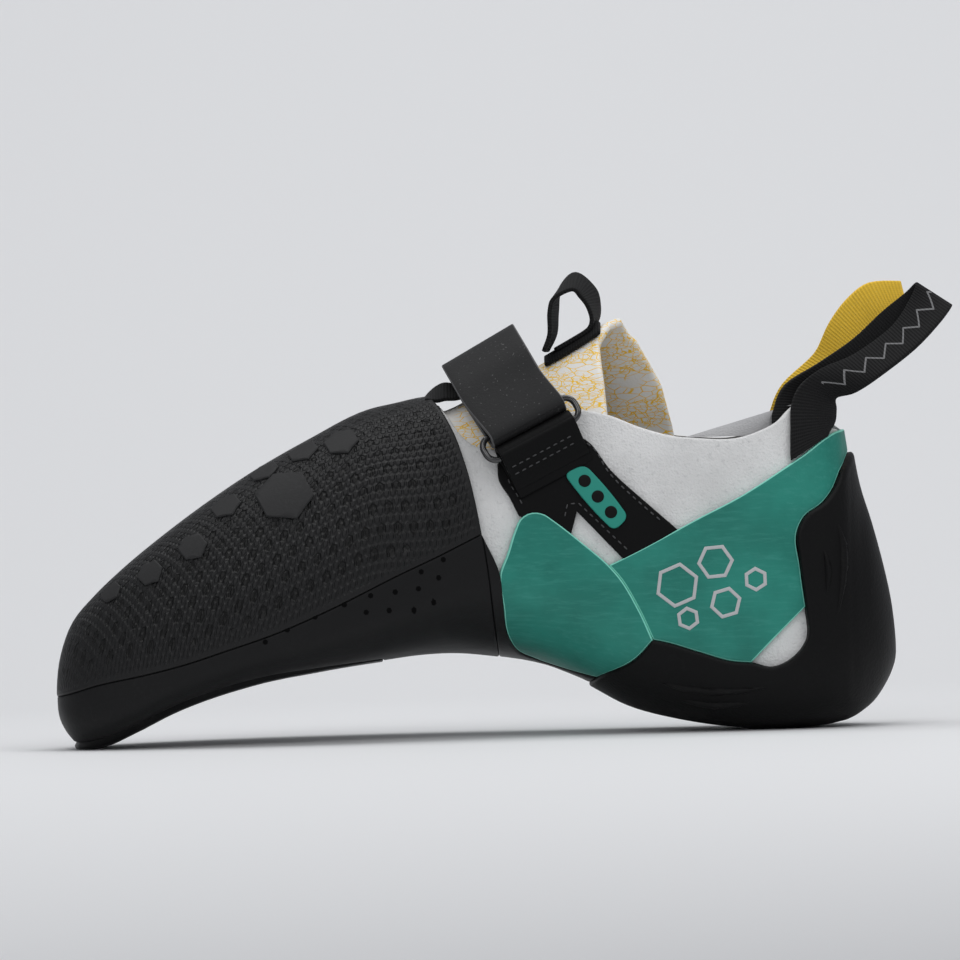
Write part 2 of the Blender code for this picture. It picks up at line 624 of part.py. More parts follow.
def under_end(end):
    """A point under the outsole's rear end, which is cut off with a slope."""
    return end[0] + SOLE_END_SLOPE[0], end[1] - SOLE_END_SLOPE[1]


def bottom_at(at):
    """Height of the last's underside."""
    rows = [(row[0], row[2]) for row in SECTIONS]
    return SEAT_Z + ARCH_RISE * float(np.interp(at, *zip(*rows)))


def sole_depth(at):
    """How far the outsole's underside is from the last: thinner towards the arch."""
    end = RAND_RUBBER + SOLE_PROUD
    return GAP + SOLE_RUBBER + (end - SOLE_RUBBER) * ease(0.20, SOLE_END_AT, at)


def make_outsole():
    line = sole_part_line()
    end = line[-1]
    outline = line + [under_end(end), (end[0], -FAR_BELOW), (line[0][0], -FAR_BELOW)]
    obj = overlay("outsole", RAND_RUBBER + SOLE_PROUD, outline, "rubber", under=sole_depth)
    cut_at_floor(obj)
    return obj


def make_toe_rand():
    """The rubber band round the forefoot, between the toe patch and the outsole."""
    line = sole_part_line()
    end = line[-1]
    seam = side_line(SEAM_LINE)
    corner = side_point(RAND_REAR[-1][0], 0.0)
    outline = seam + side_line(RAND_REAR)[1:] + [corner, under_end(end)] + line[::-1]
    return overlay("toe_rand", RAND_RUBBER, outline, "rubber")


def make_toe_patch():
    """The rubber over the toes, with raised hexagons."""
    seam = side_line(SEAM_LINE)
    rear = side_line(PATCH_REAR)
    roof = 2 * INSTEP_HEIGHT
    outline = seam + rear[::-1][1:] + [(rear[0][0], roof), (seam[0][0], roof)]
    obj = overlay("toe_patch", TOE_RUBBER, outline, "rubber")
    surface = tree_of(GAP + TOE_RUBBER)
    points, faces = [], []
    for at, rise, radius, outer in STUDS:
        x, z = side_point(at, rise)
        place, normal = on_side(surface, x, z, outer=bool(outer))
        along = Vector((0, 1, 0)).cross(normal).normalized()
        across = normal.cross(along)
        start = len(points)
        for height in STUD_REACH:
            for k in range(6):
                turn = math.radians(60 * k + STUD_TURN)
                way = math.cos(turn) * along + math.sin(turn) * across
                points.append(place + normal * height + way * radius)
        faces.append(tuple(start + k for k in range(6)))
        faces.append(tuple(start + 11 - k for k in range(6)))
        corners = [(start + k, start + (k + 1) % 6) for k in range(6)]
        faces += [(here, there, there + 6, here + 6) for here, there in corners]
    cutters = face_out(new_object("stud outlines", points, faces, helper=True))
    level = GAP + TOE_RUBBER
    studs = as_helper(shell("studs", level - STUD_ROOT, level + STUD_RISE, "rubber"))
    boolean(studs, cutters, "INTERSECT")
    return boolean(obj, studs, "UNION")


def make_arch_rand():
    """The rubber under the arch, from the toe rand back to the heel cup."""
    front = side_line(RAND_REAR)
    lower = side_line(FRONT_PANEL_BOTTOM)
    step = side_line(HEEL_STEP)[1:]
    corner = side_point(RAND_REAR[-1][0], 0.0)
    below = [(step[-1][0], -FAR_BELOW), (corner[0], -FAR_BELOW)]
    outline = [corner] + front[::-1] + lower[2:][::-1] + step + below
    obj = shell("arch_rand", GAP, GAP + ARCH_RUBBER, "rubber")
    edge = prism("arch_rand outline", inset(outline, GAP / 2))
    reach = PANEL_APART - GAP
    left, right = corner[0] + GAP / 2, step[-1][0] - GAP / 2
    between = [(left, -FAR_BELOW / 2), (right, -FAR_BELOW / 2), (right, ARCH_COVER), (left, ARCH_COVER)]
    boolean(edge, prism("arch_rand middle", between, -reach, reach), "UNION")
    return boolean(obj, edge, "INTERSECT")


def make_heel_cup():
    """The rubber cup round the heel, which runs forward under the arch."""
    front = side_line(HEEL_CUP_FRONT)
    lower = side_line(REAR_PANEL_BOTTOM)[3:]
    more = side_line(FRONT_PANEL_BOTTOM)[:3]
    step = side_line(HEEL_STEP)
    back = side_line(REAR_PANEL_BACK)
    outline = (
        back
        + front[1:]
        + lower[1:]
        + more[1:]
        + step
        + [(step[-1][0], -FAR_BELOW), (x_of(1.2), -FAR_BELOW), (x_of(1.2), back[0][1])]
    )
    obj = overlay("heel_cup", HEEL_RUBBER, outline, "rubber")
    cut_at_floor(obj)
    return obj


def make_panels():
    """Two overlapping panels on each side, between the anchor and the heel cup."""
    front = side_line(FRONT_PANEL_TOP) + side_line(PANEL_SPLIT)[1:] + side_line(FRONT_PANEL_BOTTOM)[1:-1]
    rear = (
        side_line(REAR_PANEL_TOP)
        + side_line(REAR_PANEL_BACK)
        + side_line(REAR_PANEL_BOTTOM)[1:]
        + side_line(PANEL_SPLIT)[::-1][1:-1]
    )
    for side, low_y, high_y in (("inner", -FAR_ASIDE, -PANEL_APART), ("outer", PANEL_APART, FAR_ASIDE)):
        overlay(f"panel_front_{side}", PANEL_RUBBER, front, "panel", low_y, high_y)
        overlay(f"panel_rear_{side}", PANEL_RUBBER, rear, "panel", low_y, high_y)


def make_tongue():
    low = -(UPPER_WALL + GAP + TONGUE_WALL)
    obj = shell("tongue", low, -(UPPER_WALL + GAP), "fabric")
    front, roof = x_of(0.405), 2 * INSTEP_HEIGHT
    outline = [(front, 0.62 * INSTEP_HEIGHT), side_point(0.80, 0.62), (x_of(0.80), roof), (front, roof)]
    boolean(obj, prism("tongue outline", outline), "INTERSECT")
    top, near, far = (Vector((x, y, tongue_level() + z)) for x, y, z in TONGUE_REAR)
    normal = (near - top).cross(far - top).normalized()
    if normal.x < 0:
        normal = -normal
    across = (far - near).normalized()
    up = normal.cross(across)
    size = 0.15
    corners = [(-1, -1), (1, -1), (1, 1), (-1, 1)]
    points = [top + across * a * size + up * b * size for a, b in corners]
    points += [p + normal * size for p in points]
    faces = [(0, 1, 2, 3), (7, 6, 5, 4)] + [(i, (i + 1) % 4, 4 + (i + 1) % 4, 4 + i) for i in range(4)]
    return boolean(obj, face_out(new_object("tongue rear", points, faces, helper=True)), "DIFFERENCE")


def make_insole():
    """The footbed: a skin over the flat of the last's underside."""
    _, rings, _ = form_grid(-(UPPER_WALL + 3 * GAP + INSOLE_WALL / 2))
    keel, reach = 2 * QUARTER_STEPS, QUARTER_STEPS - 2
    front, rear = x_of(0.085), x_of(0.955)
    rows = [ring[keel - reach : keel + reach + 1 : 2] for ring in rings if front < ring[keel][0] < rear]
    sheet("insole", rows, INSOLE_WALL, "fabric")


def band(name, stations, width, thickness, finish, steps=4, across=2):
    """A strip of webbing or leather along stations, each a point and the direction of the strip's width."""
    path = smooth_path([point for point, _ in stations], steps)
    sides = smooth_path([side for _, side in stations], steps)
    rows = []
    for point, side in zip(path, sides):
        side = side.normalized()
        rows.append([point + side * width * (k / across - 0.5) for k in range(across + 1)])
    return sheet(name, rows, thickness, finish)


def strap_side(normal, share=1.0):
    """The way the strap's width runs: leaned back, and laid along the surface by that share."""
    lean = Vector((math.cos(STRAP_LEAN), 0, math.sin(STRAP_LEAN)))
    return (lean - normal * normal.dot(lean) * share).normalized()


def ring_frame():
    """Middle of the ring, its long direction, the strap's way from it, and the way out of the shoe."""
    place, out = on_side(tree_of(0.0), *side_point(*RING_AT))
    long_way = strap_side(out)
    up = out.cross(long_way).normalized()
    if up.z < 0:
        up = -up
    lift = RING_OFF_LEATHER + GAP + STRAP_WALL + RING_CLEAR + RING_WIRE / 2
    return place + out * lift, long_way, up, out


def make_ring():
    centre, long_way, up, out = ring_frame()
    straight_long = RING_LENGTH / 2 - RING_WIRE / 2 - RING_CORNER
    straight_up = RING_HALF - RING_CORNER
    points = []
    for a, b, start in ((1, 1, 0), (-1, 1, 90), (-1, -1, 180), (1, -1, 270)):
        for k in range(4):
            turn = math.radians(start + 30 * k)
            sideways = a * straight_long + RING_CORNER * math.cos(turn)
            upwards = b * straight_up + RING_CORNER * math.sin(turn)
            points.append(centre + long_way * sideways + up * upwards)
    facets = 7
    mesh_points, faces = [], []
    count = len(points)
    for i, point in enumerate(points):
        along = (points[(i + 1) % count] - points[i - 1]).normalized()
        side = along.cross(out).normalized()
        for k in range(facets):
            turn = 2 * math.pi * (k + 0.5) / facets
            mesh_points.append(point + (side * math.cos(turn) + out * math.sin(turn)) * RING_WIRE / 2)
    for i in range(count):
        for k in range(facets):
            here, there = i * facets, (i + 1) % count * facets
            faces.append((here + k, here + (k + 1) % facets, there + (k + 1) % facets, there + k))
    return face_out(new_object("strap_ring", mesh_points, faces, "wire"))


def arc(centre, first, second, radius, start, end, count):
    """Points of an arc from start to end degrees, counted from first towards second."""
    made = []
    for k in range(count + 1):
        turn = math.radians(start + (end - start) * k / count)
        made.append(centre + (first * math.cos(turn) + second * math.sin(turn)) * radius)
    return made


def make_strap():
    """The strap: from its outer end over the instep, through the ring, and back over itself."""
    centre, long_way, up, out = ring_frame()
    surface = tree_of(0.0)
    start = side_point(*RING_AT)
    middle = Vector((start[0], 0.0, start[1]))
    rise = Vector((-math.sin(STRAP_LEAN), 0, math.cos(STRAP_LEAN)))

    def over(degrees, clear):
        """A station of the strap round the instep, from 0 at the ring to 180 at the outer side."""
        turn = math.radians(degrees)
        way = Vector((0, -math.cos(turn), 0)) + rise * math.sin(turn)
        place, normal, _, _ = surface.ray_cast(middle, way)
        return place + way * clear, strap_side(normal, math.cos(turn) ** 2)

    bar = centre + up * RING_HALF
    bend = RING_WIRE / 2 + RING_CLEAR + STRAP_WALL / 2
    low = GAP + STRAP_WALL / 2 + RING_OFF_LEATHER
    under, top = [], []
    for degrees in (38, 58, 78, 98):
        lift = low + STRAP_LIFT * math.sin(math.radians(min(90, degrees * 0.9))) ** 1.3
        under.append(over(degrees, lift))
        top.append(over(degrees - 2, lift + STRAP_WALL + TAB_GAP))
    top.append(over(TAB_END, low + STRAP_LIFT + STRAP_WALL + TAB_GAP))
    for degrees, share in ((118, 0.85), (138, 0.5), (158, 0.2)):
        under.append(over(degrees, low + STRAP_LIFT * share))
    end = GAP + ANCHOR_LEATHER + STRAP_END_CLEAR + STRAP_WALL / 2
    under += [over(degrees, end) for degrees in (176, 194, 204)]
    fold = [(point, long_way) for point in arc(bar, -up, out, bend, 90, -90, 4)]
    return band("strap", top[::-1] + fold + under, STRAP_WIDTH, STRAP_WALL, "synthetic", 2, 2)


def make_ring_anchor():
    """The leather that holds the ring: two legs on the upper and a fold round the ring's lower bar."""
    obj = overlay("ring_anchor", ANCHOR_LEATHER, side_line(ANCHOR_OUTLINE), "webbing", -FAR_ASIDE, -GAP)
    centre, long_way, up, out = ring_frame()
    bar = centre - up * RING_HALF
    bend = RING_WIRE / 2 + RING_CLEAR + ANCHOR_LEATHER / 2
    foot = centre - out * (centre - on_side(tree_of(0.0), *side_point(*RING_AT))[0]).length
    low = GAP + ANCHOR_LEATHER / 2
    legs = [foot - up * reach + out * (low + lift) for reach, lift in FOLD_LEGS]
    path = legs[:2] + arc(bar, up, out, bend, -90, 115, 5) + legs[2:]
    stations = [(point, long_way) for point in path]
    fold = band("ring anchor fold", stations, STRAP_WIDTH, ANCHOR_LEATHER, "webbing", 2, 1)
    return boolean(obj, as_helper(fold), "UNION")


def make_strap_base():
    """The leather under the strap's outer end."""
    outline = side_line(STRAP_BASE_OUTLINE)
    return overlay("strap_base", ANCHOR_LEATHER, outline, "webbing", GAP, FAR_ASIDE)


def make_badge():
    """The rounded plate on the rear leg of the anchor."""
    under = 2 * GAP + ANCHOR_LEATHER
    obj = shell("badge", under, under + BADGE_WALL, "badge")
    outline = rounded([side_point(*p) for p in BADGE_OUTLINE], BADGE_CORNER, 3)
    return boolean(obj, prism("badge outline", outline, -FAR_ASIDE, -GAP), "INTERSECT")


def loop_foot(surface, side, foot, clear):
    """Rows of a heel loop that lie on the heel, at that distance from the leather's outer face."""
    rows = []
    for x, z, lean in foot:
        row = []
        for share in ACROSS:
            reach = share * HEEL_LOOP_WIDTH
            across, up = reach * math.cos(lean), LOOP_LEVEL + z - reach * math.sin(lean)
            place, normal = on_side(surface, x + across, up, side > 0)
            row.append(place + normal * clear)
        rows.append(row)
    return rows


def make_heel_loops():
    """The two pull loops of the heel, each sewn to the outside and the inside of the collar."""
    surface = tree_of(0.0)
    outside = GAP + HEEL_LOOP_WALL / 2 + LOOP_CLEAR
    inside = -(UPPER_WALL + GAP + HEEL_LOOP_WALL / 2 + LOOP_CLEAR)
    loops = (("heel_loop_inner", -1, "webbing"), ("heel_loop_outer", 1, "yellow_webbing"))
    for name, side, finish in loops:
        rows = loop_foot(surface, side, HEEL_LOOP_OUTSIDE, outside)
        for x, y, z, lean, slant in OUTER_LOOP_FREE if side > 0 else HEEL_LOOP_FREE:
            way = Vector((math.cos(lean), -side * slant, -math.sin(lean))).normalized() * HEEL_LOOP_WIDTH
            rows.append([Vector((x, side * y, LOOP_LEVEL + z)) + way * share for share in ACROSS])
        rows += loop_foot(surface, side, HEEL_LOOP_INSIDE, inside)
        columns = [smooth_path(column, 2) for column in zip(*rows)]
        sheet(name, [list(row) for row in zip(*columns)], HEEL_LOOP_WALL, finish)


def make_tongue_loop():
    level = tongue_level()
    stations = [
        (Vector((x, y, level + z)), Vector((turn, 1, tilt))) for x, y, z, turn, tilt in TONGUE_LOOP
    ]
    band("tongue_pull_loop", stations, TONGUE_LOOP_WIDTH, TONGUE_LOOP_WALL, "webbing", 3, 1)


def make_keeper():
    """The short webbing along the front end of the throat."""
    surface = tree_of(0.0)
    stations = []
    for at, lift, tilt in KEEPER:
        over = Vector((x_of(at), KEEPER_Y, 3 * INSTEP_HEIGHT))
        place = surface.ray_cast(over, Vector((0, 0, -1)))[0]
        stations.append((place + Vector((0, 0, lift)), Vector((0, 1, tilt))))
    band("keeper_webbing", stations, KEEPER_WIDTH, KEEPER_WALL, "webbing", 2, 1)


def main():
    make_upper()
    make_insole()
    make_tongue()
    make_outsole()
    make_toe_rand()
    make_toe_patch()
    make_arch_rand()
    make_heel_cup()
    make_panels()
    make_ring()
    make_ring_anchor()
    make_strap_base()
    make_strap()
    make_badge()
    make_heel_loops()
    make_tongue_loop()
    make_keeper()


for obj in list(bpy.data.objects):
    bpy.data.objects.remove(obj, do_unlink=True)
SHOE = bpy.data.collections.new("climbing_shoe")
HELPERS = bpy.data.collections.new("cutters")
for group in (SHOE, HELPERS):
    bpy.context.scene.collection.children.link(group)
HELPERS.hide_render = True
main()
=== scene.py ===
import math

import bmesh
import bpy
import numpy as np
from mathutils import Matrix, Vector, noise
from mathutils.bvhtree import BVHTree
from mathutils.geometry import delaunay_2d_cdt


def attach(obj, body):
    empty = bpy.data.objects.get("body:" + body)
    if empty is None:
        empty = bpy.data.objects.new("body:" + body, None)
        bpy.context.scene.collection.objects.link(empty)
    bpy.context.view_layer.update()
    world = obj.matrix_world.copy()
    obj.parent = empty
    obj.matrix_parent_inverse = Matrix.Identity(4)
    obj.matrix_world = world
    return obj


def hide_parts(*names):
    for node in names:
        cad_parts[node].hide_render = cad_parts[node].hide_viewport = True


# The shoe's last is typed again here so that its surface can be made finer than the CAD's.
# Lengths are in metres, +X runs from toe to heel, -Y is the inner side and +Z is up.
last = {
    "shoeLength": 0.2362,
    "ballWidth": 0.0781,
    "heelWidth": 0.0530,
    "instepHeight": 0.1047,
    "heelHeight": 0.0935,
    "archRise": 0.0226,
    "seat": 0.0030,
    "heelAt": 0.8546,
    "gap": 0.0003,
    "ringStep": 0.0024,
    "quarterSteps": 22,
    "toeRubber": 0.0024,
}
last["length"] = last["shoeLength"] - 2 * (last["gap"] + last["toeRubber"])
last["toeX"] = -last["heelAt"] * last["length"]

# at, top, bottom, widest line inside and outside, edge inside and outside, ridge, keel,
# roundness above and below
lastSections = (
    (0.000, 0.134, 0.487, 0.00, 0.00, -0.192, -0.192, 0.00, 0.00, 2.2, 2.4),
    (0.006, 0.250, 0.190, 0.28, 0.28, -0.314, -0.064, 0.00, 0.00, 2.2, 2.4),
    (0.020, 0.328, 0.020, 0.24, 0.24, -0.371, 0.032, -0.08, 0.00, 2.3, 2.7),
    (0.045, 0.391, 0.070, 0.17, 0.17, -0.416, 0.134, -0.15, 0.00, 2.4, 3.0),
    (0.080, 0.461, 0.225, 0.14, 0.14, -0.448, 0.237, -0.20, 0.00, 2.4, 3.2),
    (0.130, 0.547, 0.460, 0.13, 0.13, -0.474, 0.339, -0.24, 0.00, 2.4, 3.3),
    (0.180, 0.625, 0.637, 0.13, 0.13, -0.492, 0.410, -0.23, 0.00, 2.3, 3.3),
    (0.240, 0.709, 0.788, 0.13, 0.12, -0.503, 0.467, -0.20, 0.00, 2.2, 3.1),
    (0.310, 0.792, 0.876, 0.14, 0.10, -0.497, 0.503, -0.20, 0.05, 2.1, 2.8),
    (0.380, 0.864, 0.942, 0.18, 0.10, -0.465, 0.512, -0.20, 0.20, 2.1, 2.4),
    (0.430, 0.884, 0.991, 0.21, 0.11, -0.423, 0.499, -0.19, 0.35, 2.1, 2.2),
    (0.470, 0.899, 1.000, 0.25, 0.12, -0.385, 0.485, -0.18, 0.44, 2.1, 2.1),
    (0.520, 0.956, 0.951, 0.27, 0.13, -0.358, 0.474, -0.17, 0.44, 2.1, 2.1),
    (0.580, 1.011, 0.841, 0.27, 0.13, -0.353, 0.472, -0.15, 0.38, 2.1, 2.2),
    (0.640, 1.110, 0.597, 0.24, 0.13, -0.371, 0.482, -0.12, 0.28, 2.1, 2.4),
    (0.690, 1.214, 0.320, 0.22, 0.15, -0.407, 0.492, -0.08, 0.18, 2.1, 2.6),
    (0.750, 1.317, 0.145, 0.19, 0.15, -0.460, 0.507, -0.04, 0.08, 2.1, 2.8),
    (0.820, 1.375, 0.031, 0.18, 0.17, -0.496, 0.506, 0.00, 0.00, 2.0, 3.0),
    (0.880, 1.337, 0.000, 0.18, 0.18, -0.500, 0.500, 0.00, 0.00, 1.85, 3.0),
    (0.920, 1.241, 0.027, 0.19, 0.19, -0.464, 0.464, 0.00, 0.00, 1.65, 2.8),
    (0.940, 1.110, 0.065, 0.20, 0.20, -0.423, 0.423, 0.00, 0.00, 1.55, 2.6),
    (0.951, 0.893, 0.097, 0.25, 0.25, -0.389, 0.389, 0.00, 0.00, 1.60, 2.5),
    (0.962, 0.717, 0.160, 0.29, 0.29, -0.347, 0.347, 0.00, 0.00, 1.75, 2.3),
    (0.975, 0.604, 0.265, 0.32, 0.32, -0.283, 0.283, 0.00, 0.00, 1.90, 2.2),
    (0.988, 0.471, 0.450, 0.31, 0.31, -0.196, 0.196, 0.00, 0.00, 2.0, 2.1),
    (0.9955, 0.374, 0.600, 0.30, 0.30, -0.117, 0.117, 0.00, 0.00, 2.0, 2.0),
    (1.000, 0.235, 0.841, 0.00, 0.00, 0.000, 0.000, 0.00, 0.00, 2.0, 2.0),
)


def ease(start, end, value):
    share = np.clip((np.asarray(value, float) - start) / (end - start), 0, 1)
    return share * share * (3 - 2 * share)


def localHeight(at):
    return last["instepHeight"] + (last["heelHeight"] - last["instepHeight"]) * ease(0.55, 0.85, at)


def localWidth(at):
    return last["ballWidth"] + (last["heelWidth"] - last["ballWidth"]) * ease(0.45, 0.80, at)


def xOf(at):
    return last["toeX"] + np.asarray(at) * last["length"]


def atOf(x):
    return (np.asarray(x) - last["toeX"]) / last["length"]


def sideLine(shares):
    return [(float(xOf(at)), float(rise * localHeight(at))) for at, rise in shares]


def bottomAt(at):
    table = np.array(lastSections)
    return last["seat"] + last["archRise"] * np.interp(at, table[:, 0], table[:, 2])


def sectionRows():
    rows = []
    for at, top, bottom, wideIn, wideOut, inner, outer, ridge, keel, roundTop, roundBottom in lastSections:
        top = top * localHeight(at)
        bottom = last["seat"] + bottom * last["archRise"]
        if at in (0.0, 1.0):
            top = bottom
        inner, outer = inner * localWidth(at), outer * localWidth(at)
        middle, half = (inner + outer) / 2, (outer - inner) / 2
        rows.append(
            [xOf(at), top, bottom, bottom + wideIn * (top - bottom), bottom + wideOut * (top - bottom)]
            + [inner, outer, middle + ridge * half, middle + keel * half, roundTop, roundBottom]
        )
    return np.array(rows, float)


def turnedRow(pole, row):
    x, top, bottom, wideIn, wideOut, inner, outer, ridge, keel, _, _ = row
    return np.array([x, bottom, top, wideIn, wideOut, outer, inner, ridge, keel, pole[9], pole[10]])


def fineRows():
    rows = sectionRows()
    rows = np.vstack([turnedRow(rows[0], rows[1]), rows, turnedRow(rows[-1], rows[-2])])
    moves = np.diff(rows[:, :7], axis=0)
    lengths = np.sqrt(moves[:, 0] ** 2 + (moves[:, 1:3] ** 2).sum(1) / 2 + (moves[:, 5:7] ** 2).sum(1) / 2)
    slopes = np.zeros_like(rows)
    for i in range(1, len(rows) - 1):
        before, after = lengths[i - 1], lengths[i]
        behind, ahead = (rows[i] - rows[i - 1]) / before, (rows[i + 1] - rows[i]) / after
        slopes[i] = (behind * after + ahead * before) / (before + after)
    made = []
    for i in range(1, len(rows) - 2):
        span = lengths[i]
        count = max(1, round(span / last["ringStep"]))
        for t in np.arange(count) / count:
            made.append(
                (2 * t**3 - 3 * t**2 + 1) * rows[i]
                + (t**3 - 2 * t**2 + t) * span * slopes[i]
                + (3 * t**2 - 2 * t**3) * rows[i + 1]
                + (t**3 - t**2) * span * slopes[i + 1]
            )
    made.append(rows[-2])
    return np.array(made)


def quarterArc(roundness, across, up, steps):
    angles = np.linspace(0, math.pi / 2, 97)
    side = np.abs(np.cos(angles)) ** (2 / roundness) * across
    rise = np.abs(np.sin(angles)) ** (2 / roundness) * up
    side[-1] = rise[0] = 0.0
    move = np.stack([np.diff(side), np.diff(rise)])
    turn = np.arctan2(np.abs(move[0]), np.abs(move[1]))
    size = np.hypot(*move)
    weight = size / size.sum() + np.gradient(turn) / (math.pi / 2) + 1e-6
    total = np.concatenate([[0], np.cumsum(weight)])
    wanted = np.linspace(0, total[-1], steps + 1)
    return np.interp(wanted, total, side), np.interp(wanted, total, rise)


def sectionRing(row):
    x, top, bottom, wideIn, wideOut, inner, outer, ridge, keel, roundTop, roundBottom = row
    points = []
    quarters = (
        (ridge, wideIn, inner - ridge, top - wideIn, roundTop, True),
        (keel, wideIn, inner - keel, bottom - wideIn, roundBottom, False),
        (keel, wideOut, outer - keel, bottom - wideOut, roundBottom, True),
        (ridge, wideOut, outer - ridge, top - wideOut, roundTop, False),
    )
    for centre, level, across, up, roundness, fromTop in quarters:
        side, rise = quarterArc(roundness, abs(across), abs(up), last["quarterSteps"])
        pairs = list(zip(centre + side * np.sign(across), level + rise * np.sign(up)))
        if fromTop:
            pairs.reverse()
        points += [(x, y, z) for y, z in pairs[:-1]]
    return points


class Skin:
    # The last's surface as a fine grid. A place on it is (i, j): rings from the toe, and steps round from
    # the ridge over the inner side, where j is a quarter of the count, to the keel at half of it.
    def __init__(self):
        rows = fineRows()
        rings = np.array([sectionRing(row) for row in rows[1:-1]])
        self.around = rings.shape[1]
        toe, heel = (np.tile(rows[k][[0, 5, 1]], (1, self.around, 1)) for k in (0, -1))
        self.points = np.concatenate([toe, rings, heel])
        along = self.points[2:] - self.points[:-2]
        across = np.roll(rings, -1, axis=1) - np.roll(rings, 1, axis=1)
        normals = np.cross(across, along)
        normals /= np.linalg.norm(normals, axis=2, keepdims=True)
        if ((rings - rings.mean(axis=1, keepdims=True)) * normals).sum() < 0:
            normals = -normals
        ends = [np.tile(np.array([sign, 0.0, 0.0]), (1, self.around, 1)) for sign in (-1, 1)]
        self.normals = np.concatenate([ends[0], normals, ends[1]])
        self.x = self.points[:, :, 0].mean(axis=1)
        middle = self.points.mean(axis=1)
        steps = np.linalg.norm(np.diff(self.points, axis=0), axis=2).mean(axis=1)
        self.length = np.concatenate([[0], np.cumsum(steps)])
        girths = np.linalg.norm(np.roll(self.points, -1, axis=1) - self.points, axis=2)
        self.girth = girths.sum(axis=1)
        self.middle = middle
        # Length along, in turns of the local girth, so that the charts below keep their angles
        turns = 2 * math.pi * steps[1:-1] / ((self.girth[1:-2] + self.girth[2:-1]) / 2)
        spread = np.concatenate([[0], np.cumsum(turns)])
        self.spread = np.concatenate([[-2], spread, [spread[-1] + 2]])

    def place(self, x, z, outer):
        # (i, j) of what is seen at (x, z) from one side, or the nearest on the ridge or keel
        i = float(np.interp(x, self.x, np.arange(len(self.x))))
        low = min(int(i), len(self.x) - 2)
        share = i - low
        half = self.around // 2
        steps = np.arange(half + 1)
        columns = (self.around - steps) % self.around if outer else steps
        heights = (1 - share) * self.points[low, columns, 2] + share * self.points[low + 1, columns, 2]
        j = float(np.interp(-z, -heights, steps))
        return i, (self.around - j if outer else j)

    def at(self, places):
        places = np.asarray(places, float)
        i, j = np.clip(places[:, 0], 0, len(self.x) - 1.0001), places[:, 1] % self.around
        low, left = i.astype(int), j.astype(int)
        right = (left + 1) % self.around
        u, v = (i - low)[:, None], (j - left)[:, None]
        made = []
        for grid in (self.points, self.normals):
            near = grid[low, left] * (1 - v) + grid[low, right] * v
            far = grid[low + 1, left] * (1 - v) + grid[low + 1, right] * v
            made.append(near * (1 - u) + far * u)
        made[1] /= np.linalg.norm(made[1], axis=1, keepdims=True)
        return made

    def chart(self, places, pole):
        # A flat map: round the toe's tip or the heel's, or unrolled with its cut along the ridge
        places = np.asarray(places, float)
        rings = np.arange(len(self.spread))
        reach = np.interp(places[:, 0], rings, self.spread)
        turn = places[:, 1] / self.around * 2 * math.pi
        if pole == "none":
            return np.stack([reach, turn], axis=1)
        if pole == "toe":
            radius = np.where(places[:, 0] < 1, places[:, 0], np.exp(reach))
        else:
            atTip = places[:, 0] > rings[-2]
            radius = np.where(atTip, rings[-1] - places[:, 0], np.exp(self.spread[-2] - reach))
        return np.stack([radius * np.cos(turn), radius * np.sin(turn)], axis=1)

    def unchart(self, point, pole):
        rings = np.arange(len(self.spread))
        if pole == "none":
            return np.interp(point[0], self.spread, rings), point[1] / (2 * math.pi) * self.around
        radius = math.hypot(*point)
        turn = math.atan2(point[1], point[0]) / (2 * math.pi) * self.around
        if radius < 1:
            i = radius if pole == "toe" else rings[-1] - radius
        else:
            reach = math.log(radius)
            i = np.interp(reach if pole == "toe" else self.spread[-2] - reach, self.spread, rings)
        return i, turn % self.around


skin = Skin()
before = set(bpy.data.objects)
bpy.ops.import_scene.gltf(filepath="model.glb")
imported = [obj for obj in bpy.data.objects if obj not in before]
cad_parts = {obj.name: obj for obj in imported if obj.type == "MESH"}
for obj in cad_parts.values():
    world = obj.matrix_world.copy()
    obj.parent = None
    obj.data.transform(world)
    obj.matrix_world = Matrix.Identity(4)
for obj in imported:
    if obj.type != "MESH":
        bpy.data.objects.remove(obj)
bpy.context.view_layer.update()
print("frame loaded")


def newMesh(name, points, faces, attributes=None, smooth=True):
    mesh = bpy.data.meshes.new(name)
    mesh.from_pydata(np.asarray(points, float).tolist(), [], [tuple(map(int, face)) for face in faces])
    mesh.update()
    for key, values in (attributes or {}).items():
        kind = "FLOAT" if np.ndim(values) == 1 else "FLOAT_VECTOR"
        store = mesh.attributes.new(key, kind, "POINT")
        field = "value" if kind == "FLOAT" else "vector"
        store.data.foreach_set(field, np.asarray(values, np.float32).ravel())
    if smooth:
        mesh.polygons.foreach_set("use_smooth", [True] * len(mesh.polygons))
    obj = bpy.data.objects.new(name, mesh)
    bpy.context.scene.collection.objects.link(obj)
    return obj


def dress(obj, material, slot, *nodes):
    obj.data.materials.clear()
    obj.data.materials.append(material)
    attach(obj, "root")
    if nodes:
        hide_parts(*nodes)
    return obj


